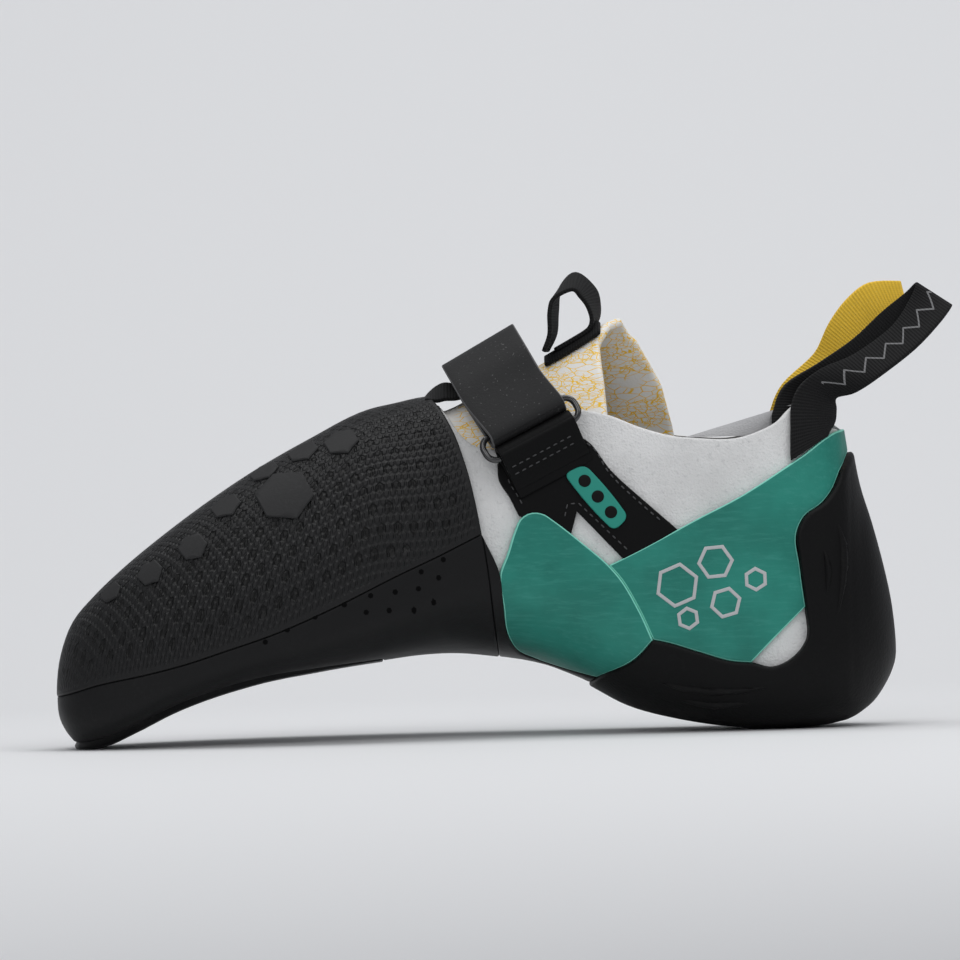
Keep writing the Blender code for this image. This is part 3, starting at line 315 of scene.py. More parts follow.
def smoothLine(points, spacing=0.0011, corner=38, closed=True):
    # Points along a smooth curve through the given ones, with the sharper corners kept
    points = [np.array(p, float) for p in points]
    count = len(points)
    sharp = []
    for k in range(count):
        back, ahead = points[k] - points[k - 1], points[(k + 1) % count] - points[k]
        size = np.linalg.norm(back) * np.linalg.norm(ahead)
        turn = math.degrees(math.acos(np.clip(back @ ahead / max(size, 1e-12), -1, 1)))
        sharp.append(turn > corner or (not closed and k in (0, count - 1)))
    made = []
    for k in range(count if closed else count - 1):
        b, c = points[k], points[(k + 1) % count]
        span = np.linalg.norm(c - b)
        a = 2 * b - c if sharp[k] else points[k - 1]
        d = 2 * c - b if sharp[(k + 1) % count] else points[(k + 2) % count]
        before, after = np.linalg.norm(b - a), np.linalg.norm(d - c)
        start = ((c - b) / span * before + (b - a) / before * span) / (before + span) * span
        end = ((d - c) / after * span + (c - b) / span * after) / (after + span) * span
        steps = max(1, round(span / spacing))
        for t in np.arange(steps) / steps:
            made.append(
                (2 * t**3 - 3 * t**2 + 1) * b + (t**3 - 2 * t**2 + t) * start
                + (3 * t**2 - 2 * t**3) * c + (t**3 - t**2) * end
            )
    if not closed:
        made.append(points[-1])
    return np.array(made)


def areaOf(line):
    x, y = line[:, 0], line[:, 1]
    return 0.5 * float(np.sum(x * np.roll(y, -1) - np.roll(x, -1) * y))


def inset(line, by):
    turn = 1 if areaOf(line) > 0 else -1
    back = line - np.roll(line, 1, axis=0)
    ahead = np.roll(line, -1, axis=0) - line
    back /= np.maximum(np.linalg.norm(back, axis=1, keepdims=True), 1e-12)
    ahead /= np.maximum(np.linalg.norm(ahead, axis=1, keepdims=True), 1e-12)
    left = np.stack([-back[:, 1], back[:, 0]], axis=1) * turn
    right = np.stack([-ahead[:, 1], ahead[:, 0]], axis=1) * turn
    middle = left + right
    middle /= np.maximum(np.linalg.norm(middle, axis=1, keepdims=True), 1e-9)
    return line + middle * by / np.maximum(0.55, (middle * left).sum(1, keepdims=True))


def inside(line, points):
    x, y = points[:, 0][:, None], points[:, 1][:, None]
    x0, y0 = line[:, 0][None], line[:, 1][None]
    x1, y1 = np.roll(line[:, 0], -1)[None], np.roll(line[:, 1], -1)[None]
    crosses = (y0 > y) != (y1 > y)
    with np.errstate(divide="ignore", invalid="ignore"):
        where = x0 + (y - y0) * (x1 - x0) / (y1 - y0)
    return (np.sum(crosses & (x < where), axis=1) % 2) == 1


def distanceTo(line, points):
    start, end = line, np.roll(line, -1, axis=0)
    way = end - start
    size = np.maximum((way**2).sum(1), 1e-18)
    best = np.full(len(points), 1e9)
    for first in range(0, len(points), 4000):
        part = points[first : first + 4000]
        t = np.clip(((part[:, None] - start) * way).sum(2) / size, 0, 1)
        gap = part[:, None] - (start + t[:, :, None] * way)
        best[first : first + 4000] = np.sqrt((gap**2).sum(2)).min(1)
    return best


def refined(line, outer, longest=0.0014):
    # More points where neighbours are far apart on the last
    made = []
    places = [skin.place(x, z, outer) for x, z in line]
    where = skin.at(places)[0]
    for k in range(len(line)):
        stack = [(line[k], where[k], line[(k + 1) % len(line)], where[(k + 1) % len(line)], 0)]
        while stack:
            start, startPlace, end, endPlace, depth = stack.pop()
            if depth < 5 and longest < np.linalg.norm(endPlace - startPlace) < 0.03:
                middle = (start + end) / 2
                middlePlace = skin.at([skin.place(middle[0], middle[1], outer)])[0][0]
                stack.append((middle, middlePlace, end, endPlace, depth + 1))
                stack.append((start, startPlace, middle, middlePlace, depth + 1))
            else:
                made.append(start)
    return np.array(made)


def drape(name, outline, thickness, side="both", rim=0.0006, base=None, pole="none", shape=None):
    # A piece laid on the last inside an outline of the side view, with a wall and a rounded rim
    base = last["gap"] if base is None else base
    line = refined(smoothLine(outline), side == "outer")
    loops = [(0.0, 0.0), (0.00003, thickness - rim)]
    for turn in (30, 60, 90):
        angle = math.radians(turn)
        loops.append((rim * (1 - math.cos(angle)) + 0.00003, thickness - rim + rim * math.sin(angle)))
    loops += [(rim + 0.0002, thickness), (rim + 0.0010, thickness)]
    places, edges = [], []
    top = skin.points[:, 0, 2]
    bottom = skin.points[:, skin.around // 2, 2]
    sides = {"both": (False, True), "inner": (False,), "outer": (True,)}[side]
    for outer in sides:
        for depth, _ in loops:
            ring = inset(line, depth)
            first = len(places)
            kept = []
            for x, z in ring:
                high, low = np.interp(x, skin.x, top), np.interp(x, skin.x, bottom)
                onIt = skin.x[0] - 0.004 < x < skin.x[-1] + 0.004 and low - 0.0002 <= z <= high + 0.0002
                kept.append(onIt)
                places.append(skin.place(x, z, outer))
            count = len(ring)
            for k in range(count):
                if kept[k] or kept[(k + 1) % count]:
                    edges.append((first + k, first + (k + 1) % count))
    columns, rows = np.meshgrid(np.arange(skin.around + (pole == "none")), np.arange(len(skin.x)))
    nodes = np.stack([rows.ravel(), columns.ravel()], axis=1).astype(float)
    if side != "both":
        half = skin.around // 2
        nodes = nodes[(nodes[:, 1] <= half) if side == "inner" else (nodes[:, 1] >= half)]
    where, _ = skin.at(nodes)
    flat = where[:, [0, 2]]
    near = inside(line, flat)
    nodes, flat = nodes[near], flat[near]
    nodes = nodes[distanceTo(line, flat) > rim + 0.0018]
    places = np.concatenate([np.array(places), nodes])
    chart = skin.chart(places, pole)
    vertices, _, faces, origins, _, _ = delaunay_2d_cdt([Vector(p) for p in chart], edges, [], 0, 1e-9, True)
    index = np.array([origin[0] if origin else -1 for origin in origins])
    lost = np.flatnonzero(index < 0)
    placed = np.zeros((len(vertices), 2))
    placed[index >= 0] = places[index[index >= 0]]
    for k in lost:
        placed[k] = skin.unchart(vertices[k], pole)
    points, normals = skin.at(placed)
    faces = np.array([face for face in faces if len(face) == 3])
    centres = points[faces].mean(axis=1)
    keep = inside(line, centres[:, [0, 2]])
    turns = placed[faces][:, :, 1]
    if side != "both":
        half = skin.around / 2
        mid = (turns.max(1) + turns.min(1)) / 2
        keep &= (mid <= half) if side == "inner" else (mid >= half)
    faces = faces[keep]
    used = np.unique(faces)
    renumber = np.full(len(points), -1)
    renumber[used] = np.arange(len(used))
    faces = renumber[faces]
    points, normals, placed = points[used], normals[used], placed[used]
    away = distanceTo(line, points[:, [0, 2]])
    depths = np.array([depth for depth, _ in loops])
    heights = np.array([height for _, height in loops])
    height = np.interp(away, depths, heights)
    if shape is not None:
        height = shape(points, normals, height, away)
    made = points + normals * (base + height)[:, None]
    corner = np.cross(made[faces[:, 1]] - made[faces[:, 0]], made[faces[:, 2]] - made[faces[:, 0]])
    flip = (corner * normals[faces].mean(axis=1)).sum(1) < 0
    faces[flip] = faces[flip][:, ::-1]
    along = np.interp(placed[:, 0], np.arange(len(skin.length)), skin.length)
    girth = np.interp(placed[:, 0], np.arange(len(skin.girth)), skin.girth)
    across = (placed[:, 1] / skin.around - np.where(placed[:, 1] > skin.around / 2, 1, 0)) * girth
    skinPlace = np.stack([along, across, away], axis=1)
    return newMesh(name, made, faces, {"skinPlace": skinPlace, "rise": height})


def surfaceTree():
    count = skin.around
    rings = len(skin.x)
    faces = [
        (i * count + j, i * count + (j + 1) % count, (i + 1) * count + (j + 1) % count, (i + 1) * count + j)
        for i in range(rings - 1)
        for j in range(count)
    ]
    return BVHTree.FromPolygons([Vector(p) for p in skin.points.reshape(-1, 3)], faces)


tree = surfaceTree()


def underCover(x, z, outer, base):
    # The point of the last whose cover of that thickness is seen at (x, z)
    shiftX = shiftZ = 0.0
    for _ in range(5):
        place, normal = onSide(x - shiftX, z - shiftZ, outer)
        shiftX, shiftZ = normal.x * base, normal.z * base
    return place, normal


def onSide(x, z, outer=False):
    # The point of the last seen at (x, z) from one side, or just under that if it is above
    sign = 1 if outer else -1
    place = None
    while place is None:
        place, normal, _, _ = tree.ray_cast(Vector((x, sign * 0.2, z)), Vector((0, -sign, 0)))
        z -= 0.0005
    return place, (normal if normal.y * sign > 0 else -normal)


def smoothPath(points, perSpan):
    points = [Vector(p) for p in points]
    points = [2 * points[0] - points[1]] + points + [2 * points[-1] - points[-2]]
    made = []
    for i in range(1, len(points) - 2):
        a, b, c, d = points[i - 1 : i + 3]
        for k in range(perSpan):
            t = k / perSpan
            square, cube = 2 * a - 5 * b + 4 * c - d, 3 * b - a - 3 * c + d
            made.append(0.5 * ((2 * b) + (c - a) * t + square * t * t + cube * t**3))
    made.append(points[-2])
    return made


def unit(values):
    return values / np.maximum(np.linalg.norm(values, axis=-1, keepdims=True), 1e-12)


def slab(name, rows, thickness, rim=None):
    # A sheet of that thickness along a grid of points, with rounded edges all round
    grid = np.array([[tuple(p) for p in row] for row in rows], float)
    n, m = grid.shape[:2]
    along, across = unit(np.gradient(grid, axis=0)), unit(np.gradient(grid, axis=1))
    normal = unit(np.cross(across, along))
    half = thickness / 2
    rim = half if rim is None else min(rim, half)
    border = [(0, j) for j in range(m)] + [(i, m - 1) for i in range(1, n)]
    border += [(n - 1, j) for j in range(m - 2, -1, -1)] + [(i, 0) for i in range(n - 2, 0, -1)]
    outward = []
    for i, j in border:
        way = (-along[i, j] if i == 0 else 0) + (along[i, j] if i == n - 1 else 0)
        way = way + (-across[i, j] if j == 0 else 0) + (across[i, j] if j == m - 1 else 0)
        outward.append(unit(np.array(way)))
    outward = np.array(outward)
    rows, columns = np.array([b[0] for b in border]), np.array([b[1] for b in border])
    edge, edgeNormal = grid[rows, columns], normal[rows, columns]
    length = np.concatenate([[0], np.cumsum(np.linalg.norm(np.diff(grid[:, m // 2], axis=0), axis=1))])
    width = np.linalg.norm(np.diff(grid, axis=1), axis=2).sum(1).mean()
    u = np.repeat(length[:, None], m, 1)
    v = np.repeat(np.linspace(-width / 2, width / 2, m)[None], n, 0)
    points = [(grid + normal * half).reshape(-1, 3), (grid - normal * half).reshape(-1, 3)]
    place = np.stack([u.ravel(), v.ravel(), np.full(n * m, 1.0)], axis=1)
    places = [place, place * [1, 1, -1]]
    edgePlace = np.stack([u[rows, columns], v[rows, columns], np.zeros(len(border))], axis=1)
    turns = (60, 30, 0, 0, -30, -60)
    for number, turn in enumerate(turns):
        angle = math.radians(turn)
        rise = (half - rim) * (1 if number < 3 else -1) + rim * math.sin(angle)
        points.append(edge + outward * rim * math.cos(angle) + edgeNormal * rise)
        places.append(edgePlace)
    faces = []
    for i in range(n - 1):
        for j in range(m - 1):
            a, b, c, d = i * m + j, i * m + j + 1, (i + 1) * m + j + 1, (i + 1) * m + j
            faces.append((a, b, c, d))
            faces.append((n * m + d, n * m + c, n * m + b, n * m + a))
    loops = [rows * m + columns]
    loops += [2 * n * m + k * len(border) + np.arange(len(border)) for k in range(len(turns))]
    loops.append(n * m + rows * m + columns)
    for upper, lower in zip(loops[:-1], loops[1:]):
        for k in range(len(border)):
            after = (k + 1) % len(border)
            faces.append((upper[after], upper[k], lower[k], lower[after]))
    obj = newMesh(name, np.concatenate(points), faces, {"bandPlace": np.concatenate(places)})
    cleanUp(obj)
    return obj


def cleanUp(obj):
    work = bmesh.new()
    work.from_mesh(obj.data)
    bmesh.ops.recalc_face_normals(work, faces=work.faces)
    work.to_mesh(obj.data)
    work.free()
    obj.data.polygons.foreach_set("use_smooth", [True] * len(obj.data.polygons))


def bandRows(stations, width, per=4, across=8):
    path = smoothPath([point for point, _ in stations], per)
    sides = smoothPath([side for _, side in stations], per)
    rows = []
    for point, side in zip(path, sides):
        side = side.normalized()
        rows.append([point + side * width * (k / across - 0.5) for k in range(across + 1)])
    return rows


def tube(name, points, radius, around=14):
    points = np.array([tuple(p) for p in points], float)
    count = len(points)
    along = unit(np.roll(points, -1, axis=0) - np.roll(points, 1, axis=0))
    middle = unit(np.cross(points - points.mean(0), along))
    middle = unit(np.tile(middle.mean(0), (count, 1)))
    side = unit(np.cross(along, middle))
    made, faces = [], []
    for i in range(count):
        for k in range(around):
            turn = 2 * math.pi * k / around
            made.append(points[i] + (side[i] * math.cos(turn) + middle[i] * math.sin(turn)) * radius)
            j = (k + 1) % around
            after = (i + 1) % count
            faces.append((i * around + k, i * around + j, after * around + j, after * around + k))
    obj = newMesh(name, made, faces)
    cleanUp(obj)
    return obj


# Share of a stitch's length, width and height over the surface, in radii
stitchRings = ((0.0, 0.35, -0.9), (0.12, 0.9, -0.1), (0.5, 1.0, 0.25), (0.88, 0.9, -0.1), (1.0, 0.35, -0.9))


def capsules(name, pairs, radius):
    # Stitches: a small rounded thread between each pair of points, lying on the surface with that normal
    points, faces = [], []
    for start, end, normal in pairs:
        start, end, normal = (np.array(tuple(v), float) for v in (start, end, normal))
        along = unit(end - start)
        side = unit(np.cross(along, normal))
        first = len(points)
        for share, size, sink in stitchRings:
            centre = start + (end - start) * share + normal * radius * sink
            for k in range(6):
                turn = math.pi / 3 * k
                points.append(centre + (side * math.cos(turn) + normal * math.sin(turn)) * radius * size)
        for ring in range(4):
            for k in range(6):
                a, b = first + ring * 6 + k, first + ring * 6 + (k + 1) % 6
                faces.append((a, b, b + 6, a + 6))
    return newMesh(name, points, faces)


def stitchPairs(line, stitch=0.0013, gap=0.0009, onto=None, height=0.0):
    line = np.array([tuple(p) for p in line], float)
    total = np.concatenate([[0], np.cumsum(np.linalg.norm(np.diff(line, axis=0), axis=1))])
    pairs = []
    at = 0.0
    while at + stitch < total[-1]:
        ends = []
        for where in (at, at + stitch):
            flat = [np.interp(where, total, line[:, k]) for k in range(line.shape[1])]
            ends.append(onto(flat, height))
        pairs.append((ends[0][0], ends[1][0], ends[0][1]))
        at += stitch + gap
    return pairs


def ontoInner(flat, height):
    place, normal = onSide(flat[0], flat[1])
    return place + normal * height, normal


def ontoOuter(flat, height):
    place, normal = onSide(flat[0], flat[1], True)
    return place + normal * height, normal


# Small helpers for shader nodes
def addNode(nodeTree, kind, inputs=(), **settings):
    node = nodeTree.nodes.new(kind)
    for key, value in settings.items():
        setattr(node, key, value)
    for key, value in dict(inputs).items():
        if isinstance(value, bpy.types.NodeSocket):
            nodeTree.links.new(value, node.inputs[key])
        else:
            node.inputs[key].default_value = value
    return node


def calc(nodeTree, operation, *values, clamp=False):
    node = addNode(nodeTree, "ShaderNodeMath", dict(enumerate(values)), operation=operation, use_clamp=clamp)
    return node.outputs[0]


def times(nodeTree, first, second):
    return calc(nodeTree, "MULTIPLY", first, second)


def vectorMath(nodeTree, operation, inputs):
    return addNode(nodeTree, "ShaderNodeVectorMath", inputs, operation=operation).outputs


def noiseNode(nodeTree, vector, scale, detail=2.0, roughness=0.5):
    inputs = {"Vector": vector, "Scale": scale, "Detail": detail, "Roughness": roughness}
    return addNode(nodeTree, "ShaderNodeTexNoise", inputs).outputs


def splitOf(nodeTree, vector):
    return addNode(nodeTree, "ShaderNodeSeparateXYZ", {"Vector": vector}).outputs


def between(nodeTree, value, low, high):
    inputs = {"Value": value, "From Min": low, "From Max": high}
    return addNode(nodeTree, "ShaderNodeMapRange", inputs, interpolation_type="SMOOTHSTEP").outputs["Result"]


def mixColor(nodeTree, share, first, second, blend="MIX"):
    node = addNode(nodeTree, "ShaderNodeMix", data_type="RGBA", blend_type=blend)
    for socket, value in ((node.inputs[0], share), (node.inputs[6], first), (node.inputs[7], second)):
        if isinstance(value, bpy.types.NodeSocket):
            nodeTree.links.new(value, socket)
        else:
            socket.default_value = value if np.ndim(value) == 0 else (*value[:3], 1.0)
    return node.outputs[2]


def newGroup(name, inputs, outputs):
    group = bpy.data.node_groups.new(name, "ShaderNodeTree")
    for socketName, kind, value in inputs:
        socket = group.interface.new_socket(name=socketName, in_out="INPUT", socket_type=f"NodeSocket{kind}")
        if kind != "Vector":
            socket.default_value = value
    for socketName, kind in outputs:
        group.interface.new_socket(name=socketName, in_out="OUTPUT", socket_type=f"NodeSocket{kind}")
    return group, group.nodes.new("NodeGroupInput").outputs, group.nodes.new("NodeGroupOutput").inputs


def makeGrain():
    inputs = (
        ("Vector", "Vector", None),
        ("Scale", "Float", 900.0),
        ("Pebble", "Float", 0.5),
        ("Cloud Scale", "Float", 60.0),
    )
    group, given, out = newGroup("surface grain", inputs, (("Height", "Float"), ("Cloud", "Float")))
    fine = noiseNode(group, given["Vector"], given["Scale"], 3.0, 0.6)["Fac"]
    pebbles = {"Vector": given["Vector"], "Scale": given["Scale"], "Randomness": 1.0}
    pebble = addNode(group, "ShaderNodeTexVoronoi", pebbles).outputs["Distance"]
    cloud = noiseNode(group, given["Vector"], given["Cloud Scale"], 4.0, 0.55)["Fac"]
    mixed = addNode(group, "ShaderNodeMix", {0: given["Pebble"], 2: fine, 3: pebble})
    group.links.new(mixed.outputs[0], out["Height"])
    group.links.new(cloud, out["Cloud"])
    return group


def makeHexNet():
    # Distance to the nearest side of a hexagonal cell, and to its middle, as shares of the cell's width
    outputs = (("Side", "Float"), ("Middle", "Float"), ("Pit", "Float"))
    group, given, out = newGroup("hexagon net", (("Vector", "Vector", None), ("Cell", "Float", 0.002)), outputs)
    scale = calc(group, "DIVIDE", 1.0, given["Cell"])
    place = vectorMath(group, "SCALE", {0: given["Vector"], "Scale": scale})[0]
    half = (0.5, math.sqrt(3.0) / 2, 0.5)
    low = tuple(-v for v in half)
    found = []
    for shift in ((0.0, 0.0, 0.0), half):
        moved = vectorMath(group, "SUBTRACT", {0: place, 1: shift})[0]
        wrapped = vectorMath(group, "WRAP", {0: moved, 1: half, 2: low})[0]
        flat = vectorMath(group, "MULTIPLY", {0: wrapped, 1: (1.0, 1.0, 0.0)})[0]
        size = vectorMath(group, "LENGTH", {0: flat})["Value"]
        mirrored = vectorMath(group, "ABSOLUTE", {0: flat})[0]
        slanted = vectorMath(group, "DOT_PRODUCT", {0: mirrored, 1: (half[0], half[1], 0.0)})["Value"]
        straight = vectorMath(group, "DOT_PRODUCT", {0: mirrored, 1: (1.0, 0.0, 0.0)})["Value"]
        reach = calc(group, "MAXIMUM", slanted, straight)
        found.append((size, reach))
    middle = calc(group, "MINIMUM", found[0][0], found[1][0])
    reach = calc(group, "MINIMUM", found[0][1], found[1][1])
    group.links.new(calc(group, "SUBTRACT", 0.5, reach), out["Side"])
    group.links.new(middle, out["Middle"])
    group.links.new(reach, out["Pit"])
    return group


def makeWeave():
    # Ribs of woven tape along X of the vector, with a finer thread across them
    inputs = (("Vector", "Vector", None), ("Pitch", "Float", 0.0008), ("Thread", "Float", 0.0005))
    group, given, out = newGroup("woven ribs", inputs, (("Height", "Float"), ("Fleck", "Float")))
    split = splitOf(group, given["Vector"])
    ribs, threads = (
        calc(group, "SINE", times(group, calc(group, "DIVIDE", split[axis], given[size]), 2 * math.pi))
        for axis, size in (("X", "Pitch"), ("Y", "Thread"))
    )
    height = calc(group, "MULTIPLY_ADD", ribs, 0.4, calc(group, "MULTIPLY_ADD", threads, 0.12, 0.5))
    group.links.new(height, out["Height"])
    group.links.new(noiseNode(group, given["Vector"], 1800.0)["Fac"], out["Fleck"])
    return group


def makeCellLines():
    # Lines round stretched, irregular cells that come and go over the cloth
    inputs = (("Vector", "Vector", None), ("Scale", "Float", 260.0), ("Width", "Float", 0.05))
    group, given, out = newGroup("cell lines", inputs, (("Line", "Float"),))
    warp = noiseNode(group, given["Vector"], 70.0)["Color"]
    shift = vectorMath(group, "SCALE", {0: warp, "Scale": 0.006})[0]
    place = vectorMath(group, "ADD", {0: given["Vector"], 1: shift})[0]
    patch = noiseNode(group, given["Vector"], 75.0, 1.0)["Fac"]
    layers = []
    for size, low, high in ((1.0, 0.36, 0.44), (1.9, 0.50, 0.58)):
        inputs = {"Vector": place, "Scale": times(group, given["Scale"], size)}
        cells = addNode(group, "ShaderNodeTexVoronoi", inputs, feature="DISTANCE_TO_EDGE")
        width = times(group, given["Width"], size**0.5)
        edge = calc(group, "SUBTRACT", width, cells.outputs["Distance"])
        layers.append(times(group, between(group, edge, -0.02, 0.02), between(group, patch, low, high)))
    group.links.new(calc(group, "MAXIMUM", layers[0], layers[1]), out["Line"])
    return group


def makeWear():
    # Pale dust that gathers in patches
    inputs = (("Vector", "Vector", None), ("Amount", "Float", 0.3))
    group, given, out = newGroup("dust", inputs, (("Mask", "Float"),))
    cloud = noiseNode(group, given["Vector"], 35.0, 5.0)["Fac"]
    fleck = noiseNode(group, given["Vector"], 900.0)["Fac"]
    mask = times(group, between(group, cloud, 0.42, 0.75), between(group, fleck, 0.45, 0.75))
    group.links.new(times(group, mask, given["Amount"]), out["Mask"])
    return group


groups = {
    "grain": makeGrain(),
    "hexNet": makeHexNet(),
    "weave": makeWeave(),
    "cellLines": makeCellLines(),
    "dust": makeWear(),
}


def useGroup(nodeTree, key, **inputs):
    node = nodeTree.nodes.new("ShaderNodeGroup")
    node.node_tree = groups[key]
    for name, value in inputs.items():
        name = name.replace("_", " ")
        if isinstance(value, bpy.types.NodeSocket):
            nodeTree.links.new(value, node.inputs[name])
        else:
            node.inputs[name].default_value = value
    return node.outputs


def newMaterial(name, color, roughness, **settings):
    material = bpy.data.materials.new(name)
    material.use_nodes = True
    nodeTree = material.node_tree
    shader = next(node for node in nodeTree.nodes if node.type == "BSDF_PRINCIPLED")
    shader.inputs["Base Color"].default_value = (*color, 1.0)
    shader.inputs["Roughness"].default_value = roughness
    for key, value in settings.items():
        shader.inputs[key.replace("_", " ")].default_value = value
    material.diffuse_color = (*color, 1.0)
    coordinates = addNode(nodeTree, "ShaderNodeTexCoord").outputs["Object"]
    return material, nodeTree, shader, coordinates


def setInput(nodeTree, shader, name, socket):
    nodeTree.links.new(socket, shader.inputs[name])


def bump(nodeTree, shader, height, distance, strength=1.0, below=None):
    inputs = {"Height": height, "Distance": distance, "Strength": strength}
    if below is not None:
        inputs["Normal"] = below
    normal = addNode(nodeTree, "ShaderNodeBump", inputs).outputs["Normal"]
    setInput(nodeTree, shader, "Normal", normal)
    return normal


def attribute(nodeTree, name):
    node = addNode(nodeTree, "ShaderNodeAttribute", attribute_name=name, attribute_type="GEOMETRY")
    return node.outputs["Vector"]


def rubberMaterial(name, settings):
    material, nodeTree, shader, place = newMaterial(
        name, settings["color"], settings["roughness"], Specular_IOR_Level=settings["shine"]
    )
    grain = useGroup(nodeTree, "grain", Vector=place, Scale=settings["grainScale"], Pebble=settings["pebble"])
    smoothest = settings["roughness"] - settings["roughSpread"] / 2
    rough = calc(nodeTree, "MULTIPLY_ADD", grain["Cloud"], settings["roughSpread"], smoothest)
    setInput(nodeTree, shader, "Roughness", rough)
    dust = useGroup(nodeTree, "dust", Vector=place, Amount=settings["dust"])["Mask"]
    setInput(nodeTree, shader, "Base Color", mixColor(nodeTree, dust, settings["color"], settings["dustColor"]))
    below = bump(nodeTree, shader, grain["Height"], settings["grainDepth"])
    return material, nodeTree, shader, place, below


rubber = {
    "color": (0.0060, 0.0060, 0.0064),
    "dustColor": (0.10, 0.10, 0.105),
    "roughness": 0.50,
    "shine": 0.20,
    "roughSpread": 0.16,
    "grainScale": 1500.0,
    "pebble": 0.45,
    "grainDepth": 0.00005,
    "dust": 0.05,
}
rubberPlain = rubberMaterial("rand rubber", rubber)[0]
soleSettings = {**rubber, "roughness": 0.40, "grainDepth": 0.00003, "color": (0.0065, 0.0065, 0.0068)}
heelSettings = {
    **rubber,
    "color": (0.0035, 0.0035, 0.0037),
    "shine": 0.14,
    "dust": 0.02,
    "grainDepth": 0.00011,
    "grainScale": 1100.0,
}
studSettings = {**rubber, "roughness": 0.60, "color": (0.022, 0.022, 0.0225), "dust": 0.10}
soleRubber = rubberMaterial("sole rubber", soleSettings)[0]
heelRubber = rubberMaterial("heel rubber", heelSettings)[0]
studRubber = rubberMaterial("stud rubber", studSettings)[0]
archRubber = rubberMaterial("arch rubber", {**rubber, "roughness": 0.45})[0]


def patchMaterial(name, settings):
    material, nodeTree, shader, place, below = rubberMaterial(name, settings)
    skinPlace = attribute(nodeTree, "skinPlace")
    away = splitOf(nodeTree, skinPlace)["Z"]
    net = useGroup(nodeTree, "hexNet", Vector=skinPlace, Cell=settings["cell"])
    holes = useGroup(nodeTree, "hexNet", Vector=skinPlace, Cell=settings["holeCell"])
    bead = between(nodeTree, net["Side"], 0.02, 0.28)
    size = noiseNode(nodeTree, skinPlace, 30.0)["Fac"]
    smallest = settings["holeSize"] - settings["holeSpread"] / 2
    radius = calc(nodeTree, "MULTIPLY_ADD", size, settings["holeSpread"], smallest)
    pit = between(nodeTree, calc(nodeTree, "SUBTRACT", radius, holes["Pit"]), -0.02, 0.05)
    pit = times(nodeTree, pit, between(nodeTree, away, 0.004, 0.0065))
    height = times(nodeTree, bead, between(nodeTree, away, 0.0008, 0.0022))
    below = bump(nodeTree, shader, height, settings["beadDepth"], 1.0, below)
    below = bump(nodeTree, shader, calc(nodeTree, "SUBTRACT", 1.0, pit), settings["holeDepth"], 1.0, below)
    dust = useGroup(nodeTree, "dust", Vector=place, Amount=settings["dust"])["Mask"]
    color = mixColor(nodeTree, dust, settings["color"], settings["dustColor"])
    # The pits are also painted near-black over their dent: painted shade in the hollows
    setInput(nodeTree, shader, "Base Color", mixColor(nodeTree, pit, color, (0.002, 0.002, 0.002)))
    return material


toePatch = {
    **rubber,
    "roughness": 0.48,
    "shine": 0.26,
    "color": (0.0075, 0.0075, 0.0079),
    "cell": 0.0019,
    "beadDepth": 0.00034,
    "holeCell": 0.0047,
    "holeSize": 0.25,
    "holeSpread": 0.10,
    "holeDepth": 0.0009,
}
patchRubber = patchMaterial("toe patch rubber", toePatch)
# Near-black matte rubber for the rand's pits: painted shade of the hollows
pitShadeRubber = newMaterial("pit painted shade", (0.0012, 0.0012, 0.0013), 0.9, Specular_IOR_Level=0.1)[0]


def suedeMaterial(name, settings):
    sheen = {"Sheen_Weight": 0.25, "Sheen_Roughness": 0.6}
    material, nodeTree, shader, place = newMaterial(name, settings["color"], 0.92, **sheen)
    grain = useGroup(nodeTree, "grain", Vector=place, Scale=settings["nap"], Pebble=0.25, Cloud_Scale=45.0)
    pores = noiseNode(nodeTree, place, 520.0, 5.0, 0.7)["Fac"]
    shade = between(nodeTree, grain["Cloud"], 0.35, 0.70)
    color = mixColor(nodeTree, shade, settings["dark"], settings["color"])
    mask = times(nodeTree, between(nodeTree, pores, 0.56, 0.74), 0.40)
    color = mixColor(nodeTree, mask, color, settings["pore"])
    setInput(nodeTree, shader, "Base Color", color)
    height = calc(nodeTree, "MULTIPLY_ADD", pores, 0.7, grain["Height"])
    bump(nodeTree, shader, height, 0.00040)
    return material


suede = {"color": (0.80, 0.80, 0.795), "dark": (0.68, 0.68, 0.675), "pore": (0.30, 0.30, 0.31), "nap": 1400.0}
upperSuede = suedeMaterial("upper suede", suede)


def clothMaterial(name, settings):
    material, nodeTree, shader, place = newMaterial(name, settings["color"], 0.88, Sheen_Weight=0.2)
    turned = {"Vector": place, "Rotation": (0.0, -0.35, 0.0), "Scale": settings["stretch"]}
    stretched = addNode(nodeTree, "ShaderNodeMapping", turned).outputs[0]
    cells = {"Vector": stretched, "Scale": settings["cells"], "Width": settings["line"]}
    lines = useGroup(nodeTree, "cellLines", **cells)["Line"]
    grain = useGroup(nodeTree, "grain", Vector=place, Scale=1700.0, Pebble=0.5)
    color = mixColor(nodeTree, grain["Cloud"], settings["shade"], settings["color"])
    setInput(nodeTree, shader, "Base Color", mixColor(nodeTree, lines, color, settings["print"]))
    bump(nodeTree, shader, grain["Height"], 0.00006)
    return material


tongueCloth = {
    "color": (0.92, 0.91, 0.88),
    "shade": (0.86, 0.83, 0.78),
    "print": (0.98, 0.60, 0.03),
    "stretch": (0.60, 1.0, 1.5),
    "cells": 400.0,
    "line": 0.036,
}
printedCloth = clothMaterial("printed tongue cloth", tongueCloth)


